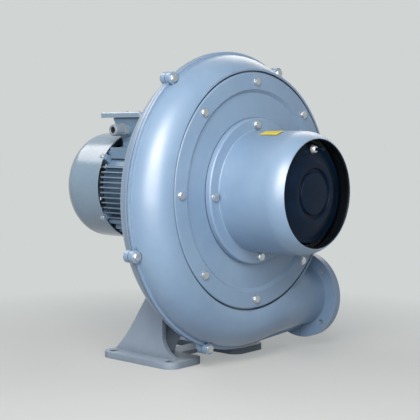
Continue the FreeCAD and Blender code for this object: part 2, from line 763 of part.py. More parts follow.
def wing_nut():
    """Wing nut that clamps the disc on its rod."""
    seat = WING_SEAT_Y
    hub = turned((0, seat), [(2.4 * CLAMP_ROD_R, seat), (1.8 * CLAMP_ROD_R, seat - 8), (0, seat - 8)])
    wing = Part.makeBox(WING_SPAN - CLAMP_ROD_R, 11, WING_T, Vector(CLAMP_ROD_R, 0, -WING_T / 2))
    wing.rotate(Vector(CLAMP_ROD_R, 0, 0), Vector(0, 0, 1), -24)
    wing = moved(wing, y=seat - 11)
    body = hub.fuse(wing).fuse(around(wing, 180))
    body = body.cut(rod(CLAMP_ROD_R + SLIDE_GAP, seat - 20, seat + 1))
    return moved(main_solid(body), z=CLAMP_ROD_PITCH_R)


# Impeller

def shroud_outline(offset):
    """Inner cone of the front shroud as (radius, y) pairs, moved forward by offset."""
    return (SHROUD_EYE_R, SHROUD_EYE_Y - offset), (IMPELLER_R, SHROUD_TIP_Y - offset)


def impeller_hub():
    """Hub with a flange that carries the back plate."""
    body = turned((0, HUB_NOSE_Y), [
        (HUB_R, HUB_NOSE_Y),
        (HUB_R, PLATE_FRONT - 8),
        (HUB_FLANGE_R, PLATE_FRONT - 5),
        (HUB_FLANGE_R, PLATE_FRONT),
        (HUB_R, PLATE_FRONT),
        (HUB_R, IMPELLER_BACK_Y),
        (0, IMPELLER_BACK_Y),
    ])
    body = body.cut(rod(IMPELLER_SEAT_R + SLIDE_GAP, 0, IMPELLER_BACK_Y + 1))
    half_w = KEY_W / 2 + SLIDE_GAP
    slot = block(-half_w, half_w, HUB_NOSE_Y - 1, IMPELLER_BACK_Y + 1, 0, IMPELLER_SEAT_R + KEY_H / 2)
    return body.cut(slot)


def impeller_back_plate():
    """Flat disc behind the blades."""
    return ring(IMPELLER_R, HUB_R + SLIDE_GAP, PLATE_FRONT, IMPELLER_BACK_Y)


def impeller_shroud():
    """Conical ring in front of the blades."""
    (eye_r, eye_y), (tip_r, tip_y) = shroud_outline(0.0)
    return turned((eye_r, eye_y), [(tip_r, tip_y), (tip_r, tip_y - SHROUD_T),
                                   (eye_r + 2, eye_y - SHROUD_T - 1), (eye_r, eye_y - 5 - SHROUD_T)])


def blade_line():
    """Camber line of a blade in the XZ plane, curved back against the turn."""
    points = []
    angle = 0.0
    radius = BLADE_ROOT_R
    steps = 6
    for i in range(steps + 1):
        points.append(polar(radius, angle))
        share = i / steps
        slope = BLADE_ANGLE_IN + (BLADE_ANGLE_OUT - BLADE_ANGLE_IN) * share
        step = (IMPELLER_R - 1 - BLADE_ROOT_R) / steps
        angle -= math.degrees(step / (radius * math.tan(math.radians(slope))))
        radius += step
    return points


def impeller_blades():
    """Curved blades between the back plate and the shroud."""
    line = [Vector(x, SHROUD_EYE_Y - 10, z) for x, z in blade_line()]
    camber = Part.BSplineCurve()
    camber.interpolate(line)
    sheet = camber.toShape().extrude(Vector(0, PLATE_FRONT - SHROUD_EYE_Y + 10, 0))
    blade = sheet.makeOffsetShape(BLADE_T, 0.01, fill=True)
    (eye_r, eye_y), (tip_r, tip_y) = shroud_outline(0.0)
    gap = SLIDE_GAP
    room = turned((0, eye_y + gap), [(eye_r, eye_y + gap), (tip_r, tip_y + gap), (tip_r, PLATE_FRONT),
                                     (0, PLATE_FRONT)])
    blade = main_solid(blade.common(room))
    return Part.makeCompound([around(blade, 360.0 * i / BLADES) for i in range(BLADES)])


def impeller_washer():
    """Washer in front of the hub."""
    return ring(WASHER_R, THREAD_R + HOLE_PLAY, HUB_NOSE_Y - WASHER_T, HUB_NOSE_Y)


def impeller_nut():
    """Hexagon nut on the shaft nose."""
    front = HUB_NOSE_Y - WASHER_T - NUT_T
    nut = hexagon(NUT_AF, front, front + NUT_T)
    return nut.cut(rod(THREAD_R + SLIDE_GAP, front - 1, HUB_NOSE_Y))


def impeller_key():
    """Key between the shaft and the hub."""
    low = IMPELLER_SEAT_R - KEY_H / 2
    top = IMPELLER_SEAT_R + KEY_H / 2 - SLIDE_GAP
    return block(-KEY_W / 2, KEY_W / 2, HUB_NOSE_Y + KEY_SETBACK, IMPELLER_BACK_Y - KEY_SETBACK, low, top)


# Motor

def motor_shaft():
    """Stepped shaft from the impeller nut to the cooling fan."""
    body = turned((0, THREAD_END_Y), [
        (THREAD_R, THREAD_END_Y),
        (THREAD_R, HUB_NOSE_Y),
        (IMPELLER_SEAT_R, HUB_NOSE_Y),
        (IMPELLER_SEAT_R, IMPELLER_BACK_Y),
        (DRIVE_SEAT_R, IMPELLER_BACK_Y),
        (DRIVE_SEAT_R, DRIVE_SHOULDER_Y),
        (CORE_SEAT_R, DRIVE_SHOULDER_Y),
        (CORE_SEAT_R, FAN_BEARING_Y),
        (FAN_SEAT_R, FAN_BEARING_Y),
        (FAN_SEAT_R, FAN_BEARING_Y + FAN_BEARING_W),
        (COOLING_SEAT_R, FAN_BEARING_Y + FAN_BEARING_W),
        (COOLING_SEAT_R, SHAFT_TAIL_Y),
        (0, SHAFT_TAIL_Y),
    ])
    half_w = KEY_W / 2
    low = IMPELLER_SEAT_R - KEY_H / 2
    slot = block(-half_w, half_w, HUB_NOSE_Y + KEY_SETBACK, IMPELLER_BACK_Y - KEY_SETBACK,
                 low, 2 * IMPELLER_SEAT_R)
    return body.cut(slot)


def bearing_pieces(bore_r, outer_r, ball_r, balls, start, width):
    """Outer ring, inner ring, balls and cage of a deep groove ball bearing."""
    middle = start + width / 2
    pitch_r = (bore_r + outer_r) / 2
    ring_t = RING_SHARE * (outer_r - bore_r)
    bore = bore_r + SLIDE_GAP / 2
    groove = Part.makeTorus(pitch_r, ball_r + SEAT_GAP, Vector(0, middle, 0), Vector(0, 1, 0))
    outer = ring(outer_r, outer_r - ring_t, start, start + width).cut(groove)
    inner = ring(bore + ring_t, bore, start, start + width).cut(groove)
    ball_set = [Part.makeSphere(ball_r, Vector(x, middle, z))
                for x, z in [polar(pitch_r, 360.0 * i / balls) for i in range(balls)]]
    half_w = CAGE_SHARE * ball_r
    cage = ring(pitch_r + CAGE_T, pitch_r - CAGE_T, middle - half_w, middle + half_w)
    pocket = Part.makeCylinder(ball_r + SLIDE_GAP, 4 * CAGE_T, Vector(pitch_r - 2 * CAGE_T, middle, 0),
                               Vector(1, 0, 0))
    for i in range(balls):
        cage = cage.cut(around(pocket, 360.0 * i / balls))
    return outer, inner, Part.makeCompound(ball_set), main_solid(cage)


def drive_end_shield():
    """Flanged end shield that bolts to the rear casing and holds the drive bearing."""
    seat_r = DRIVE_BEARING_R + SLIDE_GAP / 2
    hub_r = DRIVE_BEARING_R + 8
    hub_end = DRIVE_SHOULDER_Y + SEAT_GAP
    body = turned((SEAL_R - 4, FLANGE_Y), [
        (FLANGE_R, FLANGE_Y),
        (FLANGE_R, FLANGE_Y + FLANGE_T - 3),
        (FLANGE_R - 3, FLANGE_Y + FLANGE_T),
        (FRAME_BORE_R - SEAT_GAP / 2, FRAME_START_Y),
        (FRAME_BORE_R - SEAT_GAP / 2, FRAME_START_Y + SPIGOT_LENGTH),
        (FRAME_BORE_R - SPIGOT_WALL, FRAME_START_Y + SPIGOT_LENGTH),
        (FRAME_BORE_R - SPIGOT_WALL, FRAME_START_Y),
        (hub_r, FRAME_START_Y),
        (hub_r, hub_end),
        (seat_r, hub_end),
        (seat_r, DRIVE_BEARING_Y),
        (SEAL_R - 4, DRIVE_BEARING_Y),
    ])
    return body.cut(rods_on_circle(M10[0] + HOLE_PLAY, FLANGE_Y - 1, FRAME_START_Y + 1,
                                   FLANGE_BOLT_R, 4, 45))


def flange_bolts():
    """Bolts that hold the motor flange to the rear casing."""
    return on_circle(lambda x, z: hex_bolt(M10, FRAME_START_Y, FLANGE_T + CASING_WALL - 1, x, z, -1),
                     FLANGE_BOLT_R, 4, 45)


def frame_fins():
    """Straight cooling fins: level ones on the sides, upright ones below."""
    fins = []
    y0 = FRAME_START_Y + FIN_SETBACK
    y1 = FRAME_END_Y
    low_row = -FINS_BELOW
    high_row = int((PLATFORM_Z - PLATFORM_T) / FIN_PITCH) - 1
    for row in range(low_row, high_row + 1):
        z = FIN_PITCH * row
        for side in (-1, 1):
            start, end = sorted((0, side * FIN_TIP_R))
            fins.append(block(start, end, y0, y1, z - FIN_T / 2, z + FIN_T / 2))
    for column in range(-FINS_BELOW, FINS_BELOW + 1):
        x = FIN_PITCH * column
        fins.append(block(x - FIN_T / 2, x + FIN_T / 2, y0, y1, -FIN_TIP_R, FIN_PITCH * (low_row - 1)))
    return fins


def motor_frame():
    """Finned cast frame with the platform for the terminal box."""
    outer_r = FRAME_BORE_R + FRAME_WALL
    shell = ring(outer_r, FRAME_BORE_R, FRAME_START_Y, FRAME_END_Y)
    room = ring(FIN_TIP_R, FRAME_BORE_R + FRAME_WALL / 2, FRAME_START_Y, FRAME_END_Y)
    fins = [fin.common(room) for fin in frame_fins()]
    half_w = PLATFORM_W / 2
    platform = block(-half_w, half_w, FRAME_START_Y + PLATFORM_SETBACK, FRAME_END_Y,
                     PLATFORM_Z - PLATFORM_T, PLATFORM_Z)
    platform = platform.cut(rod(FRAME_BORE_R + FRAME_WALL / 2, FRAME_START_Y, FRAME_END_Y + 1))
    platform_top = block(-BOX_HALF_W + BOX_TAPER, BOX_HALF_W - BOX_TAPER, BOX_FRONT_Y + BOX_TAPER,
                         BOX_BACK_Y - BOX_TAPER_BACK, PLATFORM_Z - 2, BOX_BASE_Z)
    platform_top = platform_top.cut(rod(FRAME_BORE_R + FRAME_WALL / 2, FRAME_START_Y, FRAME_END_Y + 1))
    body = shell
    for piece in fins + [platform, platform_top]:
        body = body.fuse(piece)
    tapped = rods_on_circle(M6[0] + SLIDE_GAP, FRAME_END_Y - SHIELD_BOLT_REACH - 2, FRAME_END_Y + 1,
                            SHIELD_BOLT_R, 4, 45)
    bosses = rods_on_circle(SHIELD_BOSS_R, FRAME_END_Y - SHIELD_BOSS_LENGTH, FRAME_END_Y,
                            SHIELD_BOLT_R, 4, 45)
    bosses = bosses.cut(rod(FRAME_BORE_R + 1, FRAME_START_Y, FRAME_END_Y + 1))
    for boss in bosses.Solids:
        body = body.fuse(boss)
    return main_solid(body.cut(tapped).removeSplitter())


def fan_end_shield():
    """End shield that holds the fan-end bearing."""
    seat_r = FAN_BEARING_R + SLIDE_GAP / 2
    lip_r = FRAME_BORE_R + FRAME_WALL + 1
    body = turned((COOLING_SEAT_R + 3, SHIELD_END_Y), [
        (COOLING_SEAT_R + 3, FAN_BEARING_Y + FAN_BEARING_W + SEAT_GAP),
        (seat_r, FAN_BEARING_Y + FAN_BEARING_W + SEAT_GAP),
        (seat_r, FAN_BEARING_Y - SEAT_GAP),
        (FAN_BEARING_R + 7, FAN_BEARING_Y - SEAT_GAP),
        (FAN_BEARING_R + 7, FRAME_END_Y),
        (FRAME_BORE_R - SPIGOT_WALL, FRAME_END_Y),
        (FRAME_BORE_R - SPIGOT_WALL, FRAME_END_Y - SPIGOT_LENGTH),
        (FRAME_BORE_R - SEAT_GAP / 2, FRAME_END_Y - SPIGOT_LENGTH),
        (FRAME_BORE_R - SEAT_GAP / 2, FRAME_END_Y),
        (lip_r, FRAME_END_Y),
        (lip_r, SHIELD_END_Y - SHIELD_EAR_STEP),
        (lip_r - 8, SHIELD_END_Y),
    ])
    ears = rods_on_circle(SHIELD_BOSS_R, FRAME_END_Y, SHIELD_END_Y - SHIELD_EAR_STEP, SHIELD_BOLT_R, 4, 45)
    for ear in ears.Solids:
        body = body.fuse(ear)
    return body.cut(rods_on_circle(M6[0] + HOLE_PLAY, FRAME_END_Y - 1, SHIELD_END_Y, SHIELD_BOLT_R, 4, 45))


def shield_bolts():
    """Bolts that hold the fan-end shield to the frame."""
    seat = SHIELD_END_Y - SHIELD_EAR_STEP
    return on_circle(lambda x, z: hex_bolt(M6, seat, seat - FRAME_END_Y + SHIELD_BOLT_REACH, x, z, -1),
                     SHIELD_BOLT_R, 4, 45)


def stator_core():
    """Laminated stator ring."""
    return ring(FRAME_BORE_R - SLIDE_GAP, ROTOR_R + AIR_GAP, CORE_START_Y, CORE_END_Y)


def stator_windings():
    """End turns on both sides of the stator."""
    inner_r = ROTOR_R + WINDING_INSET
    outer_r = FRAME_BORE_R - WINDING_INSET
    front = ring(outer_r, inner_r, CORE_START_Y - WINDING_OVERHANG, CORE_START_Y)
    back = ring(outer_r, inner_r, CORE_END_Y, CORE_END_Y + WINDING_OVERHANG)
    return Part.makeCompound([front, back])


def rotor_core():
    """Rotor cage and laminations on the shaft."""
    inner_r = CORE_SEAT_R + SLIDE_GAP / 2
    return ring(ROTOR_R, inner_r, CORE_START_Y - ROTOR_OVERHANG, CORE_END_Y + ROTOR_OVERHANG)


def shaft_seal():
    """Lip seal where the shaft leaves the casing."""
    start = BACK_WALL_Y - CASING_WALL
    return ring(SEAL_R - SLIDE_GAP, DRIVE_SEAT_R + SLIDE_GAP, start, BACK_WALL_Y - SLIDE_GAP)


def cooling_fan():
    """Small radial fan on the tail of the shaft."""
    hub_start = COOLING_FAN_Y - COOLING_HUB_LENGTH
    body = turned((COOLING_SEAT_R + SLIDE_GAP / 2, hub_start), [
        (COOLING_SEAT_R + 7, hub_start),
        (COOLING_SEAT_R + 8, COOLING_FAN_Y),
        (COOLING_FAN_R, COOLING_FAN_Y - 4),
        (COOLING_FAN_R, COOLING_FAN_Y - 1),
        (COOLING_SEAT_R + 8, COOLING_FAN_Y + 4),
        (COOLING_SEAT_R + 6, COOLING_FAN_END_Y),
        (COOLING_SEAT_R + SLIDE_GAP / 2, COOLING_FAN_END_Y),
    ])
    blade = block(COOLING_SEAT_R + 4, COOLING_FAN_R, COOLING_FAN_Y - 3, COOLING_FAN_END_Y,
                  -COOLING_BLADE_T / 2, COOLING_BLADE_T / 2)
    for i in range(COOLING_BLADES):
        body = body.fuse(around(blade, 360.0 * i / COOLING_BLADES))
    return body


def fan_clip():
    """Retaining ring behind the cooling fan."""
    start = COOLING_FAN_END_Y
    clip = ring(COOLING_SEAT_R + 4, COOLING_SEAT_R + SLIDE_GAP / 2, start, start + CLIP_T)
    half_gap = CLIP_GAP / 2
    return clip.cut(block(-half_gap, half_gap, start - 1, start + 2 * CLIP_T, 0, 2 * COOLING_SEAT_R))


def fan_cowl():
    """Domed fan cowl with a slotted air grille in its end."""
    inner_r = COWL_R - COWL_T
    bend = COWL_SHOULDER * (1 - math.sqrt(0.5))
    inner_bend = (COWL_SHOULDER - COWL_T) * (1 - math.sqrt(0.5))
    shoulder_y = COWL_END_Y - COWL_SHOULDER
    body = turned((inner_r, COWL_START_Y), [
        (COWL_R, COWL_START_Y),
        (COWL_R, shoulder_y),
        ((COWL_R - bend, COWL_END_Y - bend), (COWL_R - COWL_SHOULDER, COWL_END_Y)),
        (0, COWL_END_Y + COWL_CROWN),
        (0, COWL_END_Y + COWL_CROWN - COWL_T),
        (COWL_R - COWL_SHOULDER, COWL_END_Y - COWL_T),
        ((inner_r - inner_bend, COWL_END_Y - COWL_T - inner_bend), (inner_r, shoulder_y)),
    ])
    slots = []
    for row, (start_r, end_r) in enumerate(GRILLE_ROWS):
        slot = block(start_r, end_r, COWL_END_Y - 8, COWL_END_Y + 8, -GRILLE_SLOT_W / 2, GRILLE_SLOT_W / 2)
        for i in range(GRILLE_SLOTS):
            slots.append(around(slot, 360.0 * i / GRILLE_SLOTS))
    body = body.cut(Part.makeCompound(slots))
    return body.cut(cowl_screw_holes(HOLE_PLAY))


def cowl_screw_holes(play):
    """Radial drillings for the cowl screws."""
    y = COWL_START_Y + COWL_SCREW_SETBACK
    hole = Part.makeCylinder(M6[0] + play, 3 * COWL_T, Vector(COWL_R - 2 * COWL_T, y, 0), Vector(1, 0, 0))
    return Part.makeCompound([around(hole, angle) for angle in COWL_SCREW_ANGLES])


def cowl_screws():
    """Round head screws that hold the cowl to the brackets."""
    y = COWL_START_Y + COWL_SCREW_SETBACK
    head = Part.makeCylinder(PAN_HEAD_R, PAN_HEAD_T, Vector(COWL_R, y, 0), Vector(1, 0, 0))
    shank = Part.makeCylinder(M6[0], COWL_R - COWL_BRACKET_R, Vector(COWL_BRACKET_R + 1, y, 0),
                              Vector(1, 0, 0))
    screw = head.fuse(shank)
    return Part.makeCompound([around(screw, angle) for angle in COWL_SCREW_ANGLES])


def cowl_brackets():
    """Four short arms on the shield that carry the cowl."""
    y0 = FRAME_END_Y
    y1 = COWL_START_Y + 2 * COWL_SCREW_SETBACK
    top = COWL_R - COWL_T - SLIDE_GAP
    arm = block(COWL_BRACKET_R - 4, top, y0, y1, -COWL_BRACKET_W / 2, COWL_BRACKET_W / 2)
    arm = arm.common(rod(top, y0, y1))
    start = Vector(COWL_BRACKET_R, COWL_START_Y + COWL_SCREW_SETBACK, 0)
    hole = Part.makeCylinder(M6[0] + SLIDE_GAP, COWL_R, start, Vector(1, 0, 0))
    arm = arm.cut(hole)
    return [around(arm, angle) for angle in COWL_SCREW_ANGLES]


# Terminal box

def box_frustum(inset, base_z, top_z):
    """Tapered box between the platform and the lid, smaller by inset on each side."""
    wires = []
    for z, taper in ((base_z, BOX_TAPER), (top_z, 0.0)):
        edge = inset + taper
        x = BOX_HALF_W - edge
        y0 = BOX_FRONT_Y + edge
        y1 = BOX_BACK_Y - inset - taper * BOX_TAPER_BACK / BOX_TAPER
        corners = [Vector(-x, y0, z), Vector(x, y0, z), Vector(x, y1, z), Vector(-x, y1, z)]
        wires.append(Part.makePolygon(corners + corners[:1]))
    return Part.makeLoft(wires, True, True)


def gland_axis_rod(radius, start_x, end_x):
    """Cylinder along X on the cable gland axis."""
    low = min(start_x, end_x)
    return Part.makeCylinder(radius, abs(end_x - start_x), Vector(low, GLAND_Y, GLAND_Z), Vector(1, 0, 0))


def terminal_box():
    """Open-topped tapered box with the gland hole."""
    body = box_frustum(0.0, BOX_BASE_Z, BOX_TOP_Z)
    body = body.cut(box_frustum(BOX_WALL, BOX_BASE_Z + BOX_WALL, BOX_TOP_Z + 0.01))
    pad = gland_axis_rod(GLAND_BODY_R + 2, GLAND_ROOT_X, GLAND_ROOT_X + 14)
    pad = pad.cut(box_frustum(BOX_WALL / 2, BOX_BASE_Z, BOX_TOP_Z))
    body = body.fuse(pad)
    for x, y in lid_screw_spots():
        post = Part.makeCylinder(LID_POST_R, BOX_TOP_Z - BOX_BASE_Z - 1, Vector(x, y, BOX_BASE_Z + 1))
        body = body.fuse(post)
    for x, y in lid_screw_spots():
        body = body.cut(Part.makeCylinder(M6[0] + SLIDE_GAP, 20, Vector(x, y, BOX_TOP_Z - 18)))
    return body.cut(gland_axis_rod(GLAND_BORE_R + GLAND_WALL + SLIDE_GAP, GLAND_ROOT_X - 1, 0))


def lid_screw_spots():
    """Corner screws of the terminal box lid."""
    x = BOX_HALF_W - BOX_TAPER - LID_SCREW_INSET
    y0 = BOX_FRONT_Y + BOX_TAPER + LID_SCREW_INSET
    y1 = BOX_BACK_Y - BOX_TAPER_BACK - LID_SCREW_INSET
    return ((-x, y0), (x, y0), (x, y1), (-x, y1))


def lid_gasket():
    """Rubber gasket under the lid."""
    outer = rounded_plate(-BOX_HALF_W, BOX_HALF_W, BOX_FRONT_Y, BOX_BACK_Y, BOX_TOP_Z, LID_BASE_Z, 4.0)
    edge = BOX_WALL + 2
    gasket = outer.cut(block(-BOX_HALF_W + edge, BOX_HALF_W - edge, BOX_FRONT_Y + edge, BOX_BACK_Y - edge,
                             BOX_TOP_Z - 1, LID_BASE_Z + 1))
    for x, y in lid_screw_spots():
        gasket = gasket.cut(Part.makeCylinder(M6[0] + HOLE_PLAY, 10, Vector(x, y, BOX_TOP_Z - 5)))
    return main_solid(gasket)


def terminal_box_lid():
    """Flat overhanging lid with a soft top edge."""
    x = BOX_HALF_W + LID_OVER_X
    lid = rounded_plate(-x, x, BOX_FRONT_Y - LID_OVER_FRONT, BOX_BACK_Y + LID_OVER_BACK,
                        LID_BASE_Z, LID_BASE_Z + LID_T, LID_CORNER)
    top_z = LID_BASE_Z + LID_T
    rim = [edge for edge in lid.Edges if abs(edge.BoundBox.ZMin - top_z) < 0.01]
    lid = lid.makeChamfer(LID_CHAMFER, rim)
    for sx, sy in lid_screw_spots():
        lid = lid.cut(Part.makeCylinder(M6[0] + HOLE_PLAY, 3 * LID_T, Vector(sx, sy, LID_BASE_Z - 1)))
    return lid


def lid_screws():
    """Cross-head screws of the lid."""
    screws = []
    for x, y in lid_screw_spots():
        head = Part.makeCylinder(PAN_HEAD_R, PAN_HEAD_T, Vector(x, y, LID_BASE_Z + LID_T))
        shank = Part.makeCylinder(M6[0], LID_T + LID_GASKET_T + 12, Vector(x, y, BOX_TOP_Z - 12))
        screws.append(head.fuse(shank))
    return Part.makeCompound(screws)


def terminal_block():
    """Moulded block that carries the terminals."""
    base = BOX_BASE_Z + BOX_WALL
    middle = (BOX_FRONT_Y + BOX_BACK_Y) / 2
    half_x = TERMINAL_PITCH * (TERMINAL_ROWS - 1) / 2 + 2 * TERMINAL_NUT_R
    half_y = TERMINAL_PITCH / 2 + 2 * TERMINAL_NUT_R
    return block(-half_x, half_x, middle - half_y, middle + half_y, base, base + TERMINAL_BLOCK_T)


def terminal_studs():
    """Brass studs on the terminal block."""
    base = BOX_BASE_Z + BOX_WALL + TERMINAL_BLOCK_T
    middle = (BOX_FRONT_Y + BOX_BACK_Y) / 2
    studs = []
    for i in range(TERMINAL_ROWS):
        for side in (-1, 1):
            x = TERMINAL_PITCH * (i - (TERMINAL_ROWS - 1) / 2)
            spot = Vector(x, middle + side * TERMINAL_PITCH / 2, base)
            nut = Part.makeCylinder(TERMINAL_NUT_R, TERMINAL_NUT_R, spot)
            stud = Part.makeCylinder(TERMINAL_STUD_R, 3 * TERMINAL_NUT_R, spot)
            studs.append(nut.fuse(stud))
    return Part.makeCompound(studs)


def gland_body():
    """Cable gland body screwed into the box wall."""
    hex_end = GLAND_ROOT_X - GLAND_HEX_T
    corner_r = GLAND_HEX_AF / math.sqrt(3)
    points = [polar(corner_r, 60 * i + 30) for i in range(6)]
    corners = [Vector(GLAND_ROOT_X, GLAND_Y + py, GLAND_Z + pz) for py, pz in points]
    collar = Part.Face(Part.makePolygon(corners + corners[:1]))
    collar = collar.extrude(Vector(hex_end - GLAND_ROOT_X, 0, 0))
    spigot = gland_axis_rod(GLAND_BORE_R + GLAND_WALL, GLAND_ROOT_X, GLAND_ROOT_X + GLAND_SPIGOT)
    neck = gland_axis_rod(GLAND_BORE_R + GLAND_WALL, hex_end - GLAND_NECK, hex_end)
    body = collar.fuse(spigot).fuse(neck)
    return body.cut(gland_axis_rod(GLAND_BORE_R, hex_end - GLAND_NECK - 1, GLAND_ROOT_X + GLAND_SPIGOT + 1))


def gland_nut():
    """Dome nut of the cable gland."""
    start = GLAND_ROOT_X - GLAND_HEX_T
    end = GLAND_ROOT_X - GLAND_LENGTH
    nut = gland_axis_rod(GLAND_BODY_R, end + 3, start)
    tip = Part.makeCone(GLAND_BODY_R, GLAND_BODY_R - 3, 3, Vector(end + 3, GLAND_Y, GLAND_Z),
                        Vector(-1, 0, 0))
    nut = nut.fuse(tip)
    neck_r = GLAND_BORE_R + GLAND_WALL + SLIDE_GAP
    nut = nut.cut(gland_axis_rod(neck_r, start - GLAND_NECK - SLIDE_GAP, start + 1))
    return nut.cut(gland_axis_rod(GLAND_BORE_R, end - 1, start))


# Pedestal

def pedestal_bolt_spots():
    """Centres of the bolts between the pedestal and the rear casing."""
    return [(side * PEDESTAL_BOLT_X, z) for z in PEDESTAL_BOLT_Z for side in (-1, 1)]


def pedestal_wall():
    """One flared side wall as an upright profile in the YZ plane."""
    top_back = Vector(0, FACE_Y + WALL_TOP_DEPTH, FACE_TOP_Z)
    knee = Vector(0, PLATE_BACK_Y - WALL_KNEE_IN, PLATE_TOP_Z + WALL_KNEE_UP)
    bow = Vector(0, PLATE_BACK_Y - WALL_BOW_IN, PLATE_TOP_Z + WALL_BOW_UP)
    toe = Vector(0, PLATE_BACK_Y - WALL_TOE_IN, PLATE_TOP_Z)
    heel = Vector(0, PLATE_FRONT_Y + WALL_HEEL_IN, PLATE_TOP_Z)
    ankle = Vector(0, WALL_FRONT_Y, PLATE_TOP_Z + WALL_ANKLE_UP)
    shin = Vector(0, WALL_FRONT_Y, FACE_LOW_Z + 4)
    hip = Vector(0, FACE_Y, FACE_LOW_Z + 26)
    top_front = Vector(0, FACE_Y, FACE_TOP_Z)
    edges = [
        Part.LineSegment(top_front, top_back).toShape(),
        Part.LineSegment(top_back, knee).toShape(),
        Part.Arc(knee, bow, toe).toShape(),
        Part.LineSegment(toe, heel).toShape(),
        Part.Arc(heel, Vector(0, WALL_FRONT_Y - 12, PLATE_TOP_Z + 13), ankle).toShape(),
        Part.LineSegment(ankle, shin).toShape(),
        Part.LineSegment(shin, hip).toShape(),
        Part.LineSegment(hip, top_front).toShape(),
    ]
    return Part.Face(Part.Wire(edges)).extrude(Vector(WALL_T, 0, 0))


def pedestal():
    """Cast foot: two plates, two flared walls, a set-back web and a bolting face."""
    wall = pedestal_wall()
    body = moved(wall, x=WALL_IN_X).fuse(moved(wall, x=-WALL_IN_X - WALL_T))
    face = block(-WALL_IN_X - 1, WALL_IN_X + 1, FACE_Y, FACE_Y + FACE_T, FACE_LOW_Z, FACE_TOP_Z)
    body = body.fuse(face)
    web = block(-WALL_IN_X - 1, WALL_IN_X + 1, WEB_Y, WEB_Y + WEB_T, PLATE_TOP_Z - 1, WEB_TOP_Z)
    arch_r = PLATE_IN_X + 4
    web = web.cut(rod(arch_r, WEB_Y - 1, WEB_Y + WEB_T + 1, 0, PLATE_TOP_Z - 12))
    shelf = block(-WALL_IN_X - 1, WALL_IN_X + 1, FACE_Y + 1, WEB_Y + WEB_T, WEB_TOP_Z - WEB_T, WEB_TOP_Z)
    body = body.fuse(web).fuse(shelf)
    for side in (-1, 1):
        x0, x1 = sorted((side * PLATE_IN_X, side * PLATE_OUT_X))
        plate = rounded_plate(x0, x1, PLATE_FRONT_Y, PLATE_BACK_Y, FLOOR_Z, PLATE_TOP_Z, PLATE_CORNER)
        body = body.fuse(plate)
    back_link = block(-PLATE_IN_X - PLATE_CORNER, PLATE_IN_X + PLATE_CORNER, WEB_Y - 14, WEB_Y + 30,
                      FLOOR_Z + 4, PLATE_TOP_Z)
    body = body.fuse(back_link)
    for x, z in pedestal_bolt_spots():
        body = body.cut(rod(M10[0] + HOLE_PLAY, FACE_Y - 1, FACE_Y + FACE_T + 1, x, z))
    return body.cut(foot_slots()).removeSplitter()


def foot_slots():
    """Slotted holes for the floor bolts."""
    half_run = FOOT_SLOT_LENGTH / 2 - FOOT_SLOT_R
    slots = []
    for side in (-1, 1):
        for end in (-1, 1):
            x = side * FOOT_SLOT_X
            y = FOOT_CENTRE_Y + end * FOOT_SLOT_Y
            low = FLOOR_Z - 1
            height = PLATE_T + 2
            slot = block(x - half_run, x + half_run, y - FOOT_SLOT_R, y + FOOT_SLOT_R, low, low + height)
            for shift in (-half_run, half_run):
                slot = slot.fuse(Part.makeCylinder(FOOT_SLOT_R, height, Vector(x + shift, y, low)))
            slots.append(slot)
    return Part.makeCompound(slots)


def pedestal_bolts():
    """Bolts that hold the pedestal to the rear casing."""
    seat = FACE_Y + FACE_T
    reach = FACE_T + PEDESTAL_BOLT_REACH
    return Part.makeCompound([hex_bolt(M10, seat, reach, x, z, -1) for x, z in pedestal_bolt_spots()])


def rotation_label():
    """Plain sticker on top of the silencer."""
    radius = INLET_R + SLIDE_GAP
    sheet = ring(radius + LABEL_T, radius, LABEL_FRONT_Y, LABEL_BACK_Y)
    reach = 2 * INLET_R
    wedge = prism_y([(0, 0), polar(reach, LABEL_START_ANGLE), polar(reach, LABEL_END_ANGLE)],
                    LABEL_FRONT_Y, LABEL_BACK_Y)
    return main_solid(sheet.common(wedge))


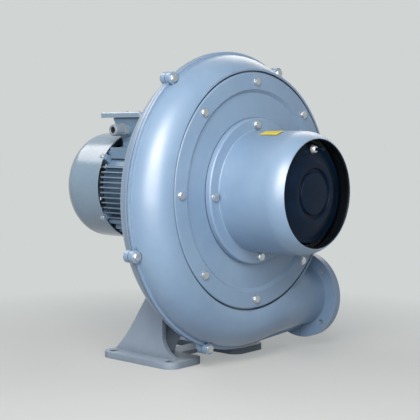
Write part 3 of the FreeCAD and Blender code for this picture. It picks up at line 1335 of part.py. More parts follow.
def build():
    """Make every node, in the order in which the blower goes together."""
    nodes = {}
    front_casing, rear_casing, seam_gasket = casing_pieces()
    nodes["pedestal"] = pedestal()
    nodes["pedestal_bolts"] = pedestal_bolts()
    nodes["rear_casing"] = rear_casing
    nodes["casing_gasket"] = seam_gasket
    nodes["front_casing"] = front_casing
    nodes["clamp_bolts"] = clamp_bolts()
    nodes["clamp_nuts"] = clamp_nuts()
    nodes["cover_gasket"] = cover_gasket()
    nodes["front_cover"] = front_cover()
    nodes["cover_bolts"] = cover_bolts()
    nodes["inlet_gasket"] = inlet_gasket()
    nodes["inlet_housing"] = inlet_housing()
    nodes["inlet_bolts"] = inlet_bolts()
    nodes["silencer_lining"] = silencer_lining()
    nodes["lining_sleeve"] = lining_sleeve()
    nodes["regulator_spider"] = regulator_spider()
    nodes["regulator_disc"] = regulator_disc()
    nodes["wing_nut"] = wing_nut()
    nodes["rotation_label"] = rotation_label()
    nodes["impeller_hub"] = impeller_hub()
    nodes["impeller_back_plate"] = impeller_back_plate()
    nodes["impeller_blades"] = impeller_blades()
    nodes["impeller_shroud"] = impeller_shroud()
    nodes["impeller_washer"] = impeller_washer()
    nodes["impeller_nut"] = impeller_nut()
    nodes["impeller_key"] = impeller_key()
    nodes["motor_shaft"] = motor_shaft()
    nodes["shaft_seal"] = shaft_seal()
    nodes["drive_end_shield"] = drive_end_shield()
    nodes["flange_bolts"] = flange_bolts()
    drive = bearing_pieces(DRIVE_SEAT_R, DRIVE_BEARING_R, DRIVE_BALL_R, DRIVE_BALLS,
                           DRIVE_BEARING_Y, DRIVE_BEARING_W)
    fan = bearing_pieces(FAN_SEAT_R, FAN_BEARING_R, FAN_BALL_R, FAN_BALLS, FAN_BEARING_Y, FAN_BEARING_W)
    for end, pieces in (("drive", drive), ("fan", fan)):
        for piece, solid in zip(("outer_ring", "inner_ring", "balls", "cage"), pieces):
            nodes[end + "_bearing_" + piece] = solid
    nodes["motor_frame"] = motor_frame()
    nodes["stator_core"] = stator_core()
    nodes["stator_windings"] = stator_windings()
    nodes["rotor_core"] = rotor_core()
    shield = fan_end_shield()
    for arm in cowl_brackets():
        shield = shield.fuse(arm)
    nodes["fan_end_shield"] = shield
    nodes["shield_bolts"] = shield_bolts()
    nodes["cooling_fan"] = cooling_fan()
    nodes["fan_clip"] = fan_clip()
    nodes["fan_cowl"] = fan_cowl()
    nodes["cowl_screws"] = cowl_screws()
    nodes["terminal_box"] = terminal_box()
    nodes["lid_gasket"] = lid_gasket()
    nodes["terminal_box_lid"] = terminal_box_lid()
    nodes["lid_screws"] = lid_screws()
    nodes["terminal_block"] = terminal_block()
    nodes["terminal_studs"] = terminal_studs()
    nodes["gland_body"] = gland_body()
    nodes["gland_nut"] = gland_nut()
    return nodes


def main():
    """Write one STEP file per node."""
    os.makedirs("parts", exist_ok=True)
    for name, shape in build().items():
        place(shape).exportStep(os.path.join("parts", name + ".step"))


main()
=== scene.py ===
"""Looks of an industrial blower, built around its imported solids.

The scroll casing, cover, silencer, motor, pedestal and label keep their solids and get their finishes
here. Fasteners, the regulator disc, the wing nut, the foam lining and the gland nut are modelled here in
full and stand for their plain solids, and the gland gets a seal ring.
"""

import logging
import math
from collections.abc import Callable, Iterable, Iterator, Sequence
from contextlib import contextmanager
from dataclasses import dataclass, field
from enum import Enum
from typing import Any

import bmesh
import bpy
from mathutils import Matrix, Vector


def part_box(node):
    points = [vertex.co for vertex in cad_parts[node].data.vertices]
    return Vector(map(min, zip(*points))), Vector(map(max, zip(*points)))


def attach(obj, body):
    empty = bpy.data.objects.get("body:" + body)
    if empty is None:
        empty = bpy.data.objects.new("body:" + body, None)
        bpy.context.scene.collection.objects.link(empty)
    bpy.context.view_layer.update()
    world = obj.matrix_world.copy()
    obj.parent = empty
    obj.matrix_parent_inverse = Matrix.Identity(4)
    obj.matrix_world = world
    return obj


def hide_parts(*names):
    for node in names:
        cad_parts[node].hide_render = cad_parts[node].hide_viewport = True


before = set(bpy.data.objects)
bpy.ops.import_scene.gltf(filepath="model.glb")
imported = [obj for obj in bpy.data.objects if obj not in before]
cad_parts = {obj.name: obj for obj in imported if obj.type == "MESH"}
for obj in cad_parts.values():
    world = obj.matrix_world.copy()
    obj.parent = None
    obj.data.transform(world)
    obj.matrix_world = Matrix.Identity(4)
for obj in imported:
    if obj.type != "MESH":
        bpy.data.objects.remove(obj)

log = logging.getLogger("blower")

MM = 0.001
SHAFT_ORIGIN = Vector((0.0, -0.183, 0.325))
FULL_TURN = 2 * math.pi
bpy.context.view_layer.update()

Point = tuple[float, float]
Triple = tuple[float, float, float]
Piece = bpy.types.Object
Tree = bpy.types.NodeTree
Socket = bpy.types.NodeSocket
# Place, direction and own turn in degrees of a fastener.
Seat = tuple[Vector, Vector, float]


class Way(Enum):
    """Direction in which a fastener's head or tip looks."""

    FRONT = (0.0, -1.0, 0.0)
    BACK = (0.0, 1.0, 0.0)
    UP = (0.0, 0.0, 1.0)
    LEFT = (-1.0, 0.0, 0.0)


class Body(Enum):
    """The bodies of the blower that new pieces move with."""

    HOUSING = "housing"
    REGULATOR = "regulator"


# Places and colours

def at_shaft(x_mm: float, y_mm: float, z_mm: float) -> Vector:
    """Point given about the shaft, in millimetres, as a place in metres.

    Args:
        x_mm: towards the outlet.
        y_mm: along the shaft, from the cover bolts to the motor.
        z_mm: upwards.

    Returns:
        The point in the frame of the whole blower.
    """
    return SHAFT_ORIGIN + Vector((x_mm, y_mm, z_mm)) * MM


def ring_spots(radius_mm: float, count: int, turn_deg: float = 0.0) -> list[Point]:
    """Points at equal steps on a circle about the shaft.

    Args:
        radius_mm: radius of the circle.
        count: how many points.
        turn_deg: angle of the first one, from +X towards +Z.

    Returns:
        The (x, z) pairs in millimetres.
    """
    angles = [math.radians(turn_deg) + FULL_TURN * i / count for i in range(count)]
    return [(radius_mm * math.cos(a), radius_mm * math.sin(a)) for a in angles]


def linear(hex_colour: str) -> tuple[float, float, float, float]:
    """Linear RGBA of an sRGB hex colour.

    Args:
        hex_colour: six hex digits after a hash sign.

    Returns:
        The four linear values, with alpha 1.
    """
    parts = [int(hex_colour[i:i + 2], 16) / 255 for i in (1, 3, 5)]
    values = [p / 12.92 if p <= 0.04045 else ((p + 0.055) / 1.055) ** 2.4 for p in parts]
    return (values[0], values[1], values[2], 1.0)


# Finishes

# Where a noise counts as low and as high, for gloss, for patches and for rubbed edges.
GLOSS_BAND = {"From Min": 0.3, "From Max": 0.7}
PATCH_BAND = {"From Min": 0.35, "From Max": 0.68}
RUB_BAND = {"From Min": 0.4, "From Max": 0.65}
# Cosine of the turn at which an edge starts to be rubbed, and at which it is rubbed in full.
EDGE_TURN = {"From Min": 0.985, "From Max": 0.86}
# Open share of a corner that takes the painted shade in full, and of one that takes none.
SHADE_OPEN_SHARE = {"From Min": 0.1, "From Max": 0.7}
GLOSS_SPREAD = 0.15
RUB_MM = 9.0


def add_node(tree: Tree, kind: str, inputs: dict[str | int, Any] | None = None,
             **settings: Any) -> bpy.types.Node:
    """Add a shader node with its settings and links.

    Args:
        tree: the node tree.
        kind: the node's type name.
        inputs: for each input's name or number a value, a socket to link, or a node whose first
            output is linked.
        settings: properties of the node.

    Returns:
        The new node.
    """
    node = tree.nodes.new(kind)
    for name, value in settings.items():
        setattr(node, name, value)
    for name, value in (inputs or {}).items():
        if isinstance(value, bpy.types.Node):
            value = value.outputs[0]
        if isinstance(value, Socket):
            tree.links.new(value, node.inputs[name])
        else:
            node.inputs[name].default_value = value
    return node


def new_material(name: str) -> tuple[bpy.types.Material, Tree, Socket]:
    """Start an empty node material.

    Args:
        name: the material's name.

    Returns:
        The material, its tree and its Object coordinates.
    """
    material = bpy.data.materials.new(name)
    material.use_nodes = True
    tree = material.node_tree
    tree.nodes.clear()
    return material, tree, add_node(tree, "ShaderNodeTexCoord").outputs["Object"]


@dataclass(frozen=True)
class Finish:
    """A surface with patches of a second colour, fine grain, slow ripples and softened edges.

    Sizes are real ones in millimetres. A grain or ripple that is too fine to show in the render
    is drawn as coarse as it needs to show.
    """

    name: str
    colour: str
    patch_colour: str
    roughness: float
    metallic: float = 0.0
    ior: float = 1.5
    specular_level: float = 0.5
    coat: float = 0.0
    coat_roughness: float = 0.1
    patch_mm: float = 45.0
    grain_mm: float = 2.0
    grain_depth_mm: float = 0.04
    ripple_mm: float = 0.0
    ripple_depth_mm: float = 0.0
    edge_colour: str = ""
    edge_mm: float = 1.2
    # Colour and reach of the painted shade that darkens seams and inner corners.
    corner_shade_colour: str = ""
    corner_shade_mm: float = 8.0

    def surface(self, tree: Tree, place: Socket) -> Socket:
        """Add the nodes of the surface.

        Args:
            tree: the material's tree.
            place: the Object coordinates.

        Returns:
            The shader socket.
        """
        soft = add_node(tree, "ShaderNodeBevel", {"Radius": self.edge_mm * MM}, samples=4)
        normal = soft.outputs["Normal"]
        colour = self.patches(tree, place)
        if self.edge_colour:
            colour = self.worn_edges(tree, place, colour, normal)
        # Painted shade: seams and inner corners turn towards the shade colour.
        if self.corner_shade_colour:
            colour = self.painted_corner_shade(tree, colour)
        for size_mm, depth_mm in ((self.ripple_mm, self.ripple_depth_mm),
                                  (self.grain_mm, self.grain_depth_mm)):
            if depth_mm:
                wave = add_node(tree, "ShaderNodeTexNoise",
                                {"Vector": place, "Scale": 1 / (size_mm * MM), "Detail": 3.0})
                bump = add_node(tree, "ShaderNodeBump", {"Height": wave, "Normal": normal,
                                                         "Distance": depth_mm * MM, "Strength": 1.0})
                normal = bump.outputs["Normal"]
        mottle = add_node(tree, "ShaderNodeTexNoise",
                          {"Vector": place, "Scale": 1 / (self.patch_mm * MM / 2), "Detail": 4.0})
        gloss = add_node(tree, "ShaderNodeMapRange",
                         {"Value": mottle, **GLOSS_BAND, "To Min": self.roughness * (1 - GLOSS_SPREAD),
                          "To Max": self.roughness * (1 + GLOSS_SPREAD)})
        shader = add_node(tree, "ShaderNodeBsdfPrincipled",
                          {"Base Color": colour, "Metallic": self.metallic, "Roughness": gloss,
                           "IOR": self.ior, "Specular IOR Level": self.specular_level,
                           "Coat Weight": self.coat, "Coat Roughness": self.coat_roughness,
                           "Normal": normal})
        return shader.outputs["BSDF"]

    def patches(self, tree: Tree, place: Socket) -> Socket:
        """Mix the two colours in soft patches.

        Args:
            tree: the material's tree.
            place: the Object coordinates.

        Returns:
            The colour socket.
        """
        cloud = add_node(tree, "ShaderNodeTexNoise",
                         {"Vector": place, "Scale": 1 / (self.patch_mm * MM), "Detail": 5.0,
                          "Roughness": 0.6})
        share = add_node(tree, "ShaderNodeMapRange", {"Value": cloud, **PATCH_BAND})
        mix = add_node(tree, "ShaderNodeMix", {0: share, 6: linear(self.colour),
                                               7: linear(self.patch_colour)}, data_type="RGBA")
        return mix.outputs[2]

    def worn_edges(self, tree: Tree, place: Socket, colour: Socket, soft_normal: Socket) -> Socket:
        """Rub the edge colour through where the surface turns sharply.

        Args:
            tree: the material's tree.
            place: the Object coordinates.
            colour: the colour so far.
            soft_normal: the rounded normal of the edges.

        Returns:
            The colour socket.
        """
        hard = add_node(tree, "ShaderNodeNewGeometry").outputs["Normal"]
        flat = add_node(tree, "ShaderNodeVectorMath", {0: hard, 1: soft_normal}, operation="DOT_PRODUCT")
        edge = add_node(tree, "ShaderNodeMapRange", {"Value": flat.outputs["Value"], **EDGE_TURN})
        rub = add_node(tree, "ShaderNodeTexNoise",
                       {"Vector": place, "Scale": 1 / (RUB_MM * MM), "Detail": 4.0})
        chance = add_node(tree, "ShaderNodeMapRange", {"Value": rub, **RUB_BAND})
        share = add_node(tree, "ShaderNodeMath", {0: edge, 1: chance}, operation="MULTIPLY")
        mix = add_node(tree, "ShaderNodeMix", {0: share, 6: colour, 7: linear(self.edge_colour)},
                       data_type="RGBA")
        return mix.outputs[2]

    def painted_corner_shade(self, tree: Tree, colour: Socket) -> Socket:
        """Darken seams and inner corners with painted shade.

        Args:
            tree: the material's tree.
            colour: the colour so far.

        Returns:
            The colour socket.
        """
        # Painted shade: the less open a point is, the more of the shade colour it takes.
        corner = add_node(tree, "ShaderNodeAmbientOcclusion", {"Distance": self.corner_shade_mm * MM}, samples=8)
        share = add_node(tree, "ShaderNodeMapRange",
                         {"Value": corner.outputs["AO"], **SHADE_OPEN_SHARE, "To Min": 1.0, "To Max": 0.0})
        mix = add_node(tree, "ShaderNodeMix", {0: share, 6: colour, 7: linear(self.corner_shade_colour)},
                       data_type="RGBA")
        return mix.outputs[2]


# Sprayed enamel over a sand casting: satin, with slow swells from the mould under an orange-peel coat.
# Its corner colour is painted shade in the seams and inner corners.
CASING_ENAMEL = Finish(
    "casing_enamel", "#7895B3", "#708DAD", 0.38, coat=1.0, coat_roughness=0.4, patch_mm=90, grain_mm=3.0,
    grain_depth_mm=0.05, ripple_mm=40, ripple_depth_mm=0.5, edge_colour="#A9B9C9", corner_shade_colour="#33475C")
# The same enamel, thinner and greyer over the finned motor casting.
# Its corner colour is painted shade at the fin roots and in the seams.
MOTOR_ENAMEL = Finish(
    "motor_enamel", "#7491AC", "#6A88A3", 0.42, coat=0.3, patch_mm=50, grain_mm=2.5, grain_depth_mm=0.06,
    edge_colour="#8FA3AF", corner_shade_colour="#3A5364", corner_shade_mm=5.0)
# Pale enamel on the deep-drawn steel cowl and the pressed lid: smooth, with a broad soft shine.
COWL_ENAMEL = Finish(
    "cowl_enamel", "#829DB4", "#7A95AD", 0.26, coat=0.8, coat_roughness=0.15, patch_mm=80, grain_mm=4.0,
    grain_depth_mm=0.02, ripple_mm=30, ripple_depth_mm=0.15, edge_colour="#A9B8C2")
# Enamel on rough cast iron: duller, with the sand's tooth showing.
# Its corner colour reaches 70 mm, so it paints shade over the whole recess between the foot's walls.
PEDESTAL_ENAMEL = Finish(
    "pedestal_enamel", "#A0B2C5", "#97A9BD", 0.5, coat=0.08, patch_mm=60, grain_mm=2.5, grain_depth_mm=0.16,
    edge_colour="#A9B5BE", corner_shade_colour="#1E2B37", corner_shade_mm=70.0)
# Bright zinc plate on steel: metallic, slightly milky.
ZINC_PLATE = Finish(
    "zinc_plate", "#CDD2D6", "#B4BABF", 0.34, metallic=1.0, patch_mm=6, grain_mm=1.0, grain_depth_mm=0.02,
    edge_mm=0.4)
# Zinc die casting of the wing nut: pale and dull, so that it stays light against the black disc.
DIECAST_ZINC = Finish(
    "diecast_zinc", "#DDE0E2", "#C6CACD", 0.55, metallic=1.0, patch_mm=6, grain_mm=1.0, grain_depth_mm=0.03,
    edge_mm=0.4)
# Ground steel of shafts and bearing rings: bright and tight-grained.
GROUND_STEEL = Finish(
    "ground_steel", "#A8ABAD", "#94989B", 0.25, metallic=1.0, patch_mm=10, grain_mm=0.8,
    grain_depth_mm=0.01, edge_mm=0.5)
# Blue-black stoving enamel on a spun disc: semi-gloss, with a faint haze of dust.
BLACK_ENAMEL = Finish(
    "black_enamel", "#081729", "#0D1F33", 0.34, ior=1.45, specular_level=0.12, patch_mm=40, grain_mm=3.0,
    grain_depth_mm=0.015, edge_mm=0.8, edge_colour="#24344A")
# The same stoving enamel inside the drum, duller and blacker than on the disc.
BORE_ENAMEL = Finish(
    "bore_enamel", "#06090E", "#090E16", 0.42, ior=1.45, specular_level=0.2, patch_mm=40, grain_mm=3.0,
    grain_depth_mm=0.02, edge_mm=0.8)
# Sheet rubber: black, matt, faintly mottled.
SHEET_RUBBER = Finish(
    "sheet_rubber", "#17181A", "#212325", 0.8, patch_mm=15, grain_mm=1.2, grain_depth_mm=0.05, edge_mm=0.3)
# Open-cell polyurethane foam: deep pores that hold the light.
OPEN_FOAM = Finish(
    "open_cell_foam", "#1C1D1F", "#2B2C2E", 0.95, patch_mm=8, grain_mm=3.0, grain_depth_mm=1.2, edge_mm=0.5)
# Bare die-cast aluminium: grey-white metal with a dull skin.
BARE_ALUMINIUM = Finish(
    "bare_aluminium", "#B4B7B9", "#A3A7AA", 0.42, metallic=1.0, patch_mm=25, grain_mm=1.8,
    grain_depth_mm=0.05, edge_mm=0.6)
# Turned bearing brass: warm and satin.
BEARING_BRASS = Finish(
    "bearing_brass", "#C9A561", "#B08E4C", 0.35, metallic=1.0, patch_mm=6, grain_mm=1.0,
    grain_depth_mm=0.01, edge_mm=0.3)
# Moulded glass-filled nylon: black or grey, with a fine spark-eroded texture.
BLACK_NYLON = Finish(
    "black_nylon", "#1B1C1E", "#232527", 0.5, patch_mm=20, grain_mm=1.4, grain_depth_mm=0.05, edge_mm=0.5)
GREY_NYLON = Finish(
    "grey_nylon", "#8A9AA8", "#8293A1", 0.42, coat=0.1, patch_mm=14, grain_mm=1.4, grain_depth_mm=0.03,
    edge_mm=0.5)
# Vinyl label film: flat bright yellow under a thin gloss.
LABEL_FILM = Finish(
    "label_film", "#E8D420", "#DCC81C", 0.35, ior=1.46, coat=0.3, patch_mm=20, grain_mm=2.0,
    grain_depth_mm=0.01, edge_mm=0.2)


@dataclass(frozen=True)
class BandedFinish:
    """A surface made of fine bands that cross the shaft, such as stacked sheets or wound wire."""

    name: str
    colour: str
    gap_colour: str
    roughness: float
    metallic: float
    band_mm: float
    depth_mm: float

    def surface(self, tree: Tree, place: Socket) -> Socket:
        """Add the nodes of the surface.

        Args:
            tree: the material's tree.
            place: the Object coordinates.

        Returns:
            The shader socket.
        """
        # One wave cycle takes 2 pi / 20 of a unit at scale 1.
        bands = add_node(tree, "ShaderNodeTexWave",
                         {"Vector": place, "Scale": FULL_TURN / 20 / (self.band_mm * MM),
                          "Distortion": 0.6, "Detail": 2.0},
                         wave_type="BANDS", bands_direction="Y")
        mix = add_node(tree, "ShaderNodeMix", {0: bands.outputs["Fac"], 6: linear(self.gap_colour),
                                               7: linear(self.colour)}, data_type="RGBA")
        bump = add_node(tree, "ShaderNodeBump", {"Height": bands.outputs["Fac"], "Strength": 1.0,
                                                 "Distance": self.depth_mm * MM})
        shader = add_node(tree, "ShaderNodeBsdfPrincipled",
                          {"Base Color": mix.outputs[2], "Metallic": self.metallic,
                           "Roughness": self.roughness, "Normal": bump})
        return shader.outputs["BSDF"]


# Varnished core sheets, drawn at 2 mm because the real 0.5 mm is too fine to show.
CORE_SHEETS = BandedFinish("core_sheets", "#5A5F66", "#33373C", 0.45, 0.9, 2.0, 0.15)
# Varnished copper end turns, drawn as 2 mm wire.
WOUND_COPPER = BandedFinish("wound_copper", "#A65A32", "#5A2C18", 0.35, 0.6, 2.0, 0.4)


@dataclass(frozen=True)
class DrumFinish:
    """One finish outside a drum about the shaft, and another on its bore and its flared mouth."""

    name: str
    outside: Finish
    bore: Finish
    mouth_y: float
    mouth_r: float
    flare: float
    bore_r: float

    def surface(self, tree: Tree, place: Socket) -> Socket:
        """Add the nodes of both finishes, parted by the distance from the shaft.

        Args:
            tree: the material's tree.
            place: the Object coordinates.

        Returns:
            The shader socket.
        """
        centre = add_node(tree, "ShaderNodeVectorMath", {0: place, 1: SHAFT_ORIGIN}, operation="SUBTRACT")
        across = add_node(tree, "ShaderNodeVectorMath", {0: centre, 1: (1.0, 0.0, 1.0)},
                          operation="MULTIPLY")
        radius = add_node(tree, "ShaderNodeVectorMath", {0: across}, operation="LENGTH")
        along = add_node(tree, "ShaderNodeSeparateXYZ", {0: centre})
        wall_y = self.mouth_y + (self.bore_r - self.mouth_r) / self.flare
        limit = add_node(tree, "ShaderNodeMapRange",
                         {"Value": along.outputs["Y"], "From Min": self.mouth_y * MM,
                          "From Max": wall_y * MM, "To Min": self.mouth_r * MM,
                          "To Max": self.bore_r * MM})
        inside = add_node(tree, "ShaderNodeMath", {0: radius.outputs["Value"], 1: limit},
                          operation="LESS_THAN")
        mix = add_node(tree, "ShaderNodeMixShader", {0: inside, 1: self.outside.surface(tree, place),
                                                     2: self.bore.surface(tree, place)})
        return mix.outputs[0]


# The silencer drum: casing enamel outside, and the bore stoved black together with the regulator.
DRUM_FINISH = DrumFinish("drum_enamel", CASING_ENAMEL, BORE_ENAMEL, -139.0, 96.5, 0.33, 107.4)

AnyFinish = Finish | BandedFinish | DrumFinish
made_materials: dict[str, bpy.types.Material] = {}


def material_of(finish: AnyFinish) -> bpy.types.Material:
    """Material of a finish, made on first use.

    Args:
        finish: what a piece is finished in.

    Returns:
        The node material.
    """
    if finish.name not in made_materials:
        material, tree, place = new_material(finish.name)
        add_node(tree, "ShaderNodeOutputMaterial", {"Surface": finish.surface(tree, place)})
        made_materials[finish.name] = material
    return made_materials[finish.name]


def dress(piece: Piece, finish: AnyFinish) -> None:
    """Give a piece or a carried-over solid one finish all over."""
    piece.data.materials.clear()
    piece.data.materials.append(material_of(finish))


def dress_nodes(finish: AnyFinish, *nodes: str) -> None:
    """Finish carried-over solids.

    Args:
        finish: what they are finished in.
        nodes: their names.
    """
    for node in nodes:
        dress(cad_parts[node], finish)
        log.info("solid %-26s %s", node, finish.name)


# Modelling steps

def make_active(*pieces: Piece) -> None:
    """Select these pieces alone; the first one is active.

    Args:
        pieces: what is selected.
    """
    bpy.ops.object.select_all(action="DESELECT")
    for piece in pieces:
        piece.select_set(True)
    bpy.context.view_layer.objects.active = pieces[0]


@contextmanager
def editing(piece: Piece) -> Iterator[bmesh.types.BMesh]:
    """Edit mode on one piece, with nothing selected at first.

    Args:
        piece: the piece.

    Yields:
        Its mesh in edit mode.
    """
    make_active(piece)
    bpy.ops.object.mode_set(mode="EDIT")
    bpy.ops.mesh.select_all(action="DESELECT")
    yield bmesh.from_edit_mesh(piece.data)
    bpy.ops.object.mode_set(mode="OBJECT")


def pick_faces(mesh: bmesh.types.BMesh, wanted: Callable[[Vector, Vector], bool]) -> None:
    """Select just the faces that a test picks.

    Args:
        mesh: the mesh in edit mode.
        wanted: tells from a face's centre and normal whether it is picked.
    """
    for face in mesh.faces:
        face.select_set(wanted(face.calc_center_median(), face.normal))


def fresh(name: str) -> Piece:
    """Name the active object and its mesh.

    Args:
        name: its name as a piece.

    Returns:
        The active object.
    """
    piece = bpy.context.active_object
    piece.name = name
    piece.data.name = name
    return piece


def added(name: str, add: Callable[..., set[str]], **settings: Any) -> Piece:
    """Add a primitive with nothing else selected.

    Args:
        name: its name as a piece.
        add: the operator that adds it.
        settings: the operator's properties.

    Returns:
        The new object.
    """
    bpy.ops.object.select_all(action="DESELECT")
    add(**settings)
    return fresh(name)


def settled(piece: Piece) -> Piece:
    """Move a piece's place, turn and size into its mesh.

    Args:
        piece: the piece.

    Returns:
        The same piece.
    """
    make_active(piece)
    bpy.ops.object.transform_apply(location=True, rotation=True, scale=True)
    return piece


def with_modifier(piece: Piece, kind: str, **settings: Any) -> Piece:
    """Add a modifier and apply it.

    Args:
        piece: the piece.
        kind: the modifier's type.
        settings: its properties.

    Returns:
        The same piece.
    """
    make_active(piece)
    modifier = piece.modifiers.new(kind.lower(), kind)
    for name, value in settings.items():
        setattr(modifier, name, value)
    bpy.ops.object.modifier_apply(modifier=modifier.name)
    return piece


def cut_with(piece: Piece, tool: Piece, operation: str) -> Piece:
    """Boolean of two solids; the tool is used up.

    Args:
        piece: the solid that stays.
        tool: the solid that cuts it or joins it.
        operation: DIFFERENCE, INTERSECT or UNION.

    Returns:
        The changed piece.
    """
    with_modifier(piece, "BOOLEAN", object=tool, operation=operation, solver="EXACT")
    bpy.data.objects.remove(tool)
    return piece


def joined(name: str, pieces: Sequence[Piece]) -> Piece:
    """Join pieces to one object.

    Args:
        name: the name of the result.
        pieces: what is joined.

    Returns:
        The one piece.
    """
    make_active(*pieces)
    bpy.ops.object.join()
    return fresh(name)


def smoothed(piece: Piece, angle_deg: float = 35.0) -> Piece:
    """Shade a piece smooth up to an angle, with its place settled in the mesh.

    Args:
        piece: the piece.
        angle_deg: sharper edges stay sharp.

    Returns:
        The same piece.
    """
    settled(piece)
    bpy.ops.object.shade_smooth_by_angle(angle=math.radians(angle_deg))
    return piece


def lathe(name: str, outline: Sequence[Point], steps: int) -> Piece:
    """Turn an outline about the Z axis; it is closed first, unless it starts and ends on the axis.

    Args:
        name: the piece's name.
        outline: (radius, height) points in millimetres, in order.
        steps: how many facets go round.

    Returns:
        The turned piece, about the world's Z axis.
    """
    piece = added(name, bpy.ops.mesh.primitive_plane_add, size=MM, location=(0, 0, 0))
    places = [Vector((radius, 0, height)) * MM for radius, height in outline]
    with editing(piece) as mesh:
        bpy.ops.mesh.select_all(action="SELECT")
        bpy.ops.mesh.merge(type="CENTER")
        bpy.ops.transform.translate(value=places[0])
        for start, end in zip(places, places[1:]):
            bpy.ops.mesh.extrude_region_move(TRANSFORM_OT_translate={"value": end - start})
        if outline[0][0]:
            mesh = bmesh.from_edit_mesh(piece.data)
            for vert in mesh.verts:
                vert.select_set(len(vert.link_edges) == 1)
            bpy.ops.mesh.edge_face_add()
        bpy.ops.mesh.select_all(action="SELECT")
        bpy.ops.mesh.spin(steps=steps, angle=FULL_TURN, center=(0, 0, 0), axis=(0, 0, 1))
        bpy.ops.mesh.select_all(action="SELECT")
        bpy.ops.mesh.remove_doubles(threshold=0.01 * MM)
        bpy.ops.mesh.normals_make_consistent(inside=False)
    return piece


def arc(centre: Point, radius: float, start_deg: float, end_deg: float, steps: int) -> list[Point]:
    """Points of an arc in an outline.

    Args:
        centre: its centre.
        radius: its radius.
        start_deg: angle of the first point, from the radial direction upwards.
        end_deg: angle of the last point.
        steps: how many pieces it has.

    Returns:
        The points, both ends included.
    """
    angles = [math.radians(start_deg + (end_deg - start_deg) * i / steps) for i in range(steps + 1)]
    return [(centre[0] + radius * math.cos(a), centre[1] + radius * math.sin(a)) for a in angles]


def aimed(piece: Piece, place: Vector, way: Vector, roll_deg: float = 0.0) -> Piece:
    """Turn a piece from +Z to a direction and set it in its place.

    Args:
        piece: a piece modelled at the world's origin, looking along +Z.
        place: where its origin goes.
        way: where its +Z goes.
        roll_deg: turn about its own axis first.

    Returns:
        The same piece, with its place in its mesh.
    """
    turn = way.to_track_quat("Z", "Y").to_matrix().to_4x4()
    roll = Matrix.Rotation(math.radians(roll_deg), 4, "Z")
    piece.matrix_world = Matrix.Translation(place) @ turn @ roll
    return settled(piece)


def faced_front(piece: Piece, seat_y: float, z: float) -> Piece:
    """Turn a piece modelled along +Z, with +Y up, so that it looks to the front.

    Args:
        piece: the piece.
        seat_y: where its origin lies along the shaft.
        z: how far above the shaft it sits.

    Returns:
        The same piece, with its place in its mesh.
    """
    turn = Matrix.Rotation(math.radians(90), 4, "X")
    piece.matrix_world = Matrix.Translation(at_shaft(0, seat_y, z)) @ turn
    return settled(piece)


def copied(piece: Piece) -> Piece:
    """A copy of a piece with its own mesh."""
    make_active(piece)
    bpy.ops.object.duplicate(linked=False)
    return bpy.context.active_object


def finished(piece: Piece, finish: AnyFinish, body: Body, slot: str, *nodes: str) -> None:
    """Dress a new piece, make it ride and let it stand for its plain solids.

    Args:
        piece: the piece.
        finish: what it is finished in.
        body: what it moves with.
        slot: the record's material slot; not used.
        nodes: the solids that it replaces.
    """
    dress(piece, finish)
    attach(piece, body.value)
    if nodes:
        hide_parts(*nodes)
    log.info("piece %-26s %d faces, %s", piece.name, len(piece.data.polygons), finish.name)


# Fasteners

# Radius of a hexagon's flat face as a share of its width across flats, and the slope of its chamfer.
HEX_FACE_SHARE = 0.465
HEX_CHAMFER = math.radians(30)
THREAD_PITCH = 1.25
THREAD_DEPTH = 0.75
WASHER_ROUND = 0.4


@dataclass(frozen=True)
class HexSize:
    """Sizes of one hexagon fastener in millimetres."""

    shank_r: float
    across_flats: float
    head: float
    washer_r: float
    washer: float = 1.6

    def chamfered_hexagon(self, height: float, both_ends: bool) -> Piece:
        """Hexagon prism with its corners turned off.

        Args:
            height: its height in millimetres.
            both_ends: whether the lower end is chamfered too.

        Returns:
            The prism, standing on the world's origin.
        """
        corner_r = self.across_flats / math.sqrt(3)
        prism = added("hexagon", bpy.ops.mesh.primitive_cylinder_add, vertices=6, radius=corner_r * MM,
                      depth=height * MM, location=(0, 0, height * MM / 2))
        face_r = HEX_FACE_SHARE * self.across_flats
        outer_r = corner_r + 1
        drop = (outer_r - face_r) * math.tan(HEX_CHAMFER)
        lower_end = [(face_r, 0), (outer_r, drop)] if both_ends else [(outer_r, 0)]
        outline = [(0, 0), *lower_end, (outer_r, height - drop), (face_r, height), (0, height)]
        return cut_with(prism, lathe("turning", outline, 36), "INTERSECT")

    def threaded_end(self, start: float, end: float) -> Piece:
        """End of the shank with its thread ridges and turned tip.

        Args:
            start: height of its lower end.
            end: height of its tip.

        Returns:
            The piece along +Z.
        """
        root_r = self.shank_r - THREAD_DEPTH
        outline = [(0, start), (self.shank_r, start)]
        for i in range(int((end - start - 1) / THREAD_PITCH)):
            outline += [(root_r, start + THREAD_PITCH * (i + 0.5)),
                        (self.shank_r, start + THREAD_PITCH * (i + 1))]
        outline += [(root_r, end), (0, end)]
        return lathe("thread", outline, 24)

    def bolt(self) -> Piece:
        """Bolt head on its washer, along +Z from the seat.

        Returns:
            The piece.
        """
        head = self.chamfered_hexagon(self.head, False)
        head.location.z = self.washer * MM
        rim = arc((self.washer_r - WASHER_ROUND, self.washer - WASHER_ROUND), WASHER_ROUND, 0, 90, 3)
        washer = lathe("washer", [(0, 0), (self.washer_r, 0), *rim, (0, self.washer)], 40)
        return smoothed(joined("bolt", [head, washer]), 25)

    def nut(self, tip: float) -> Piece:
        """Nut on the end of its bolt, along +Z from the seat.

        Args:
            tip: how far the bolt's end stands past the seat.

        Returns:
            The piece.
        """
        body = self.chamfered_hexagon(self.head, True)
        return smoothed(joined("nut", [body, self.threaded_end(self.head - 0.5, tip)]), 25)


M6 = HexSize(3.0, 10.0, 4.0, 6.0, 1.2)
M8 = HexSize(4.0, 13.0, 5.5, 8.0)
M10 = HexSize(5.0, 16.0, 6.5, 10.0, 2.0)


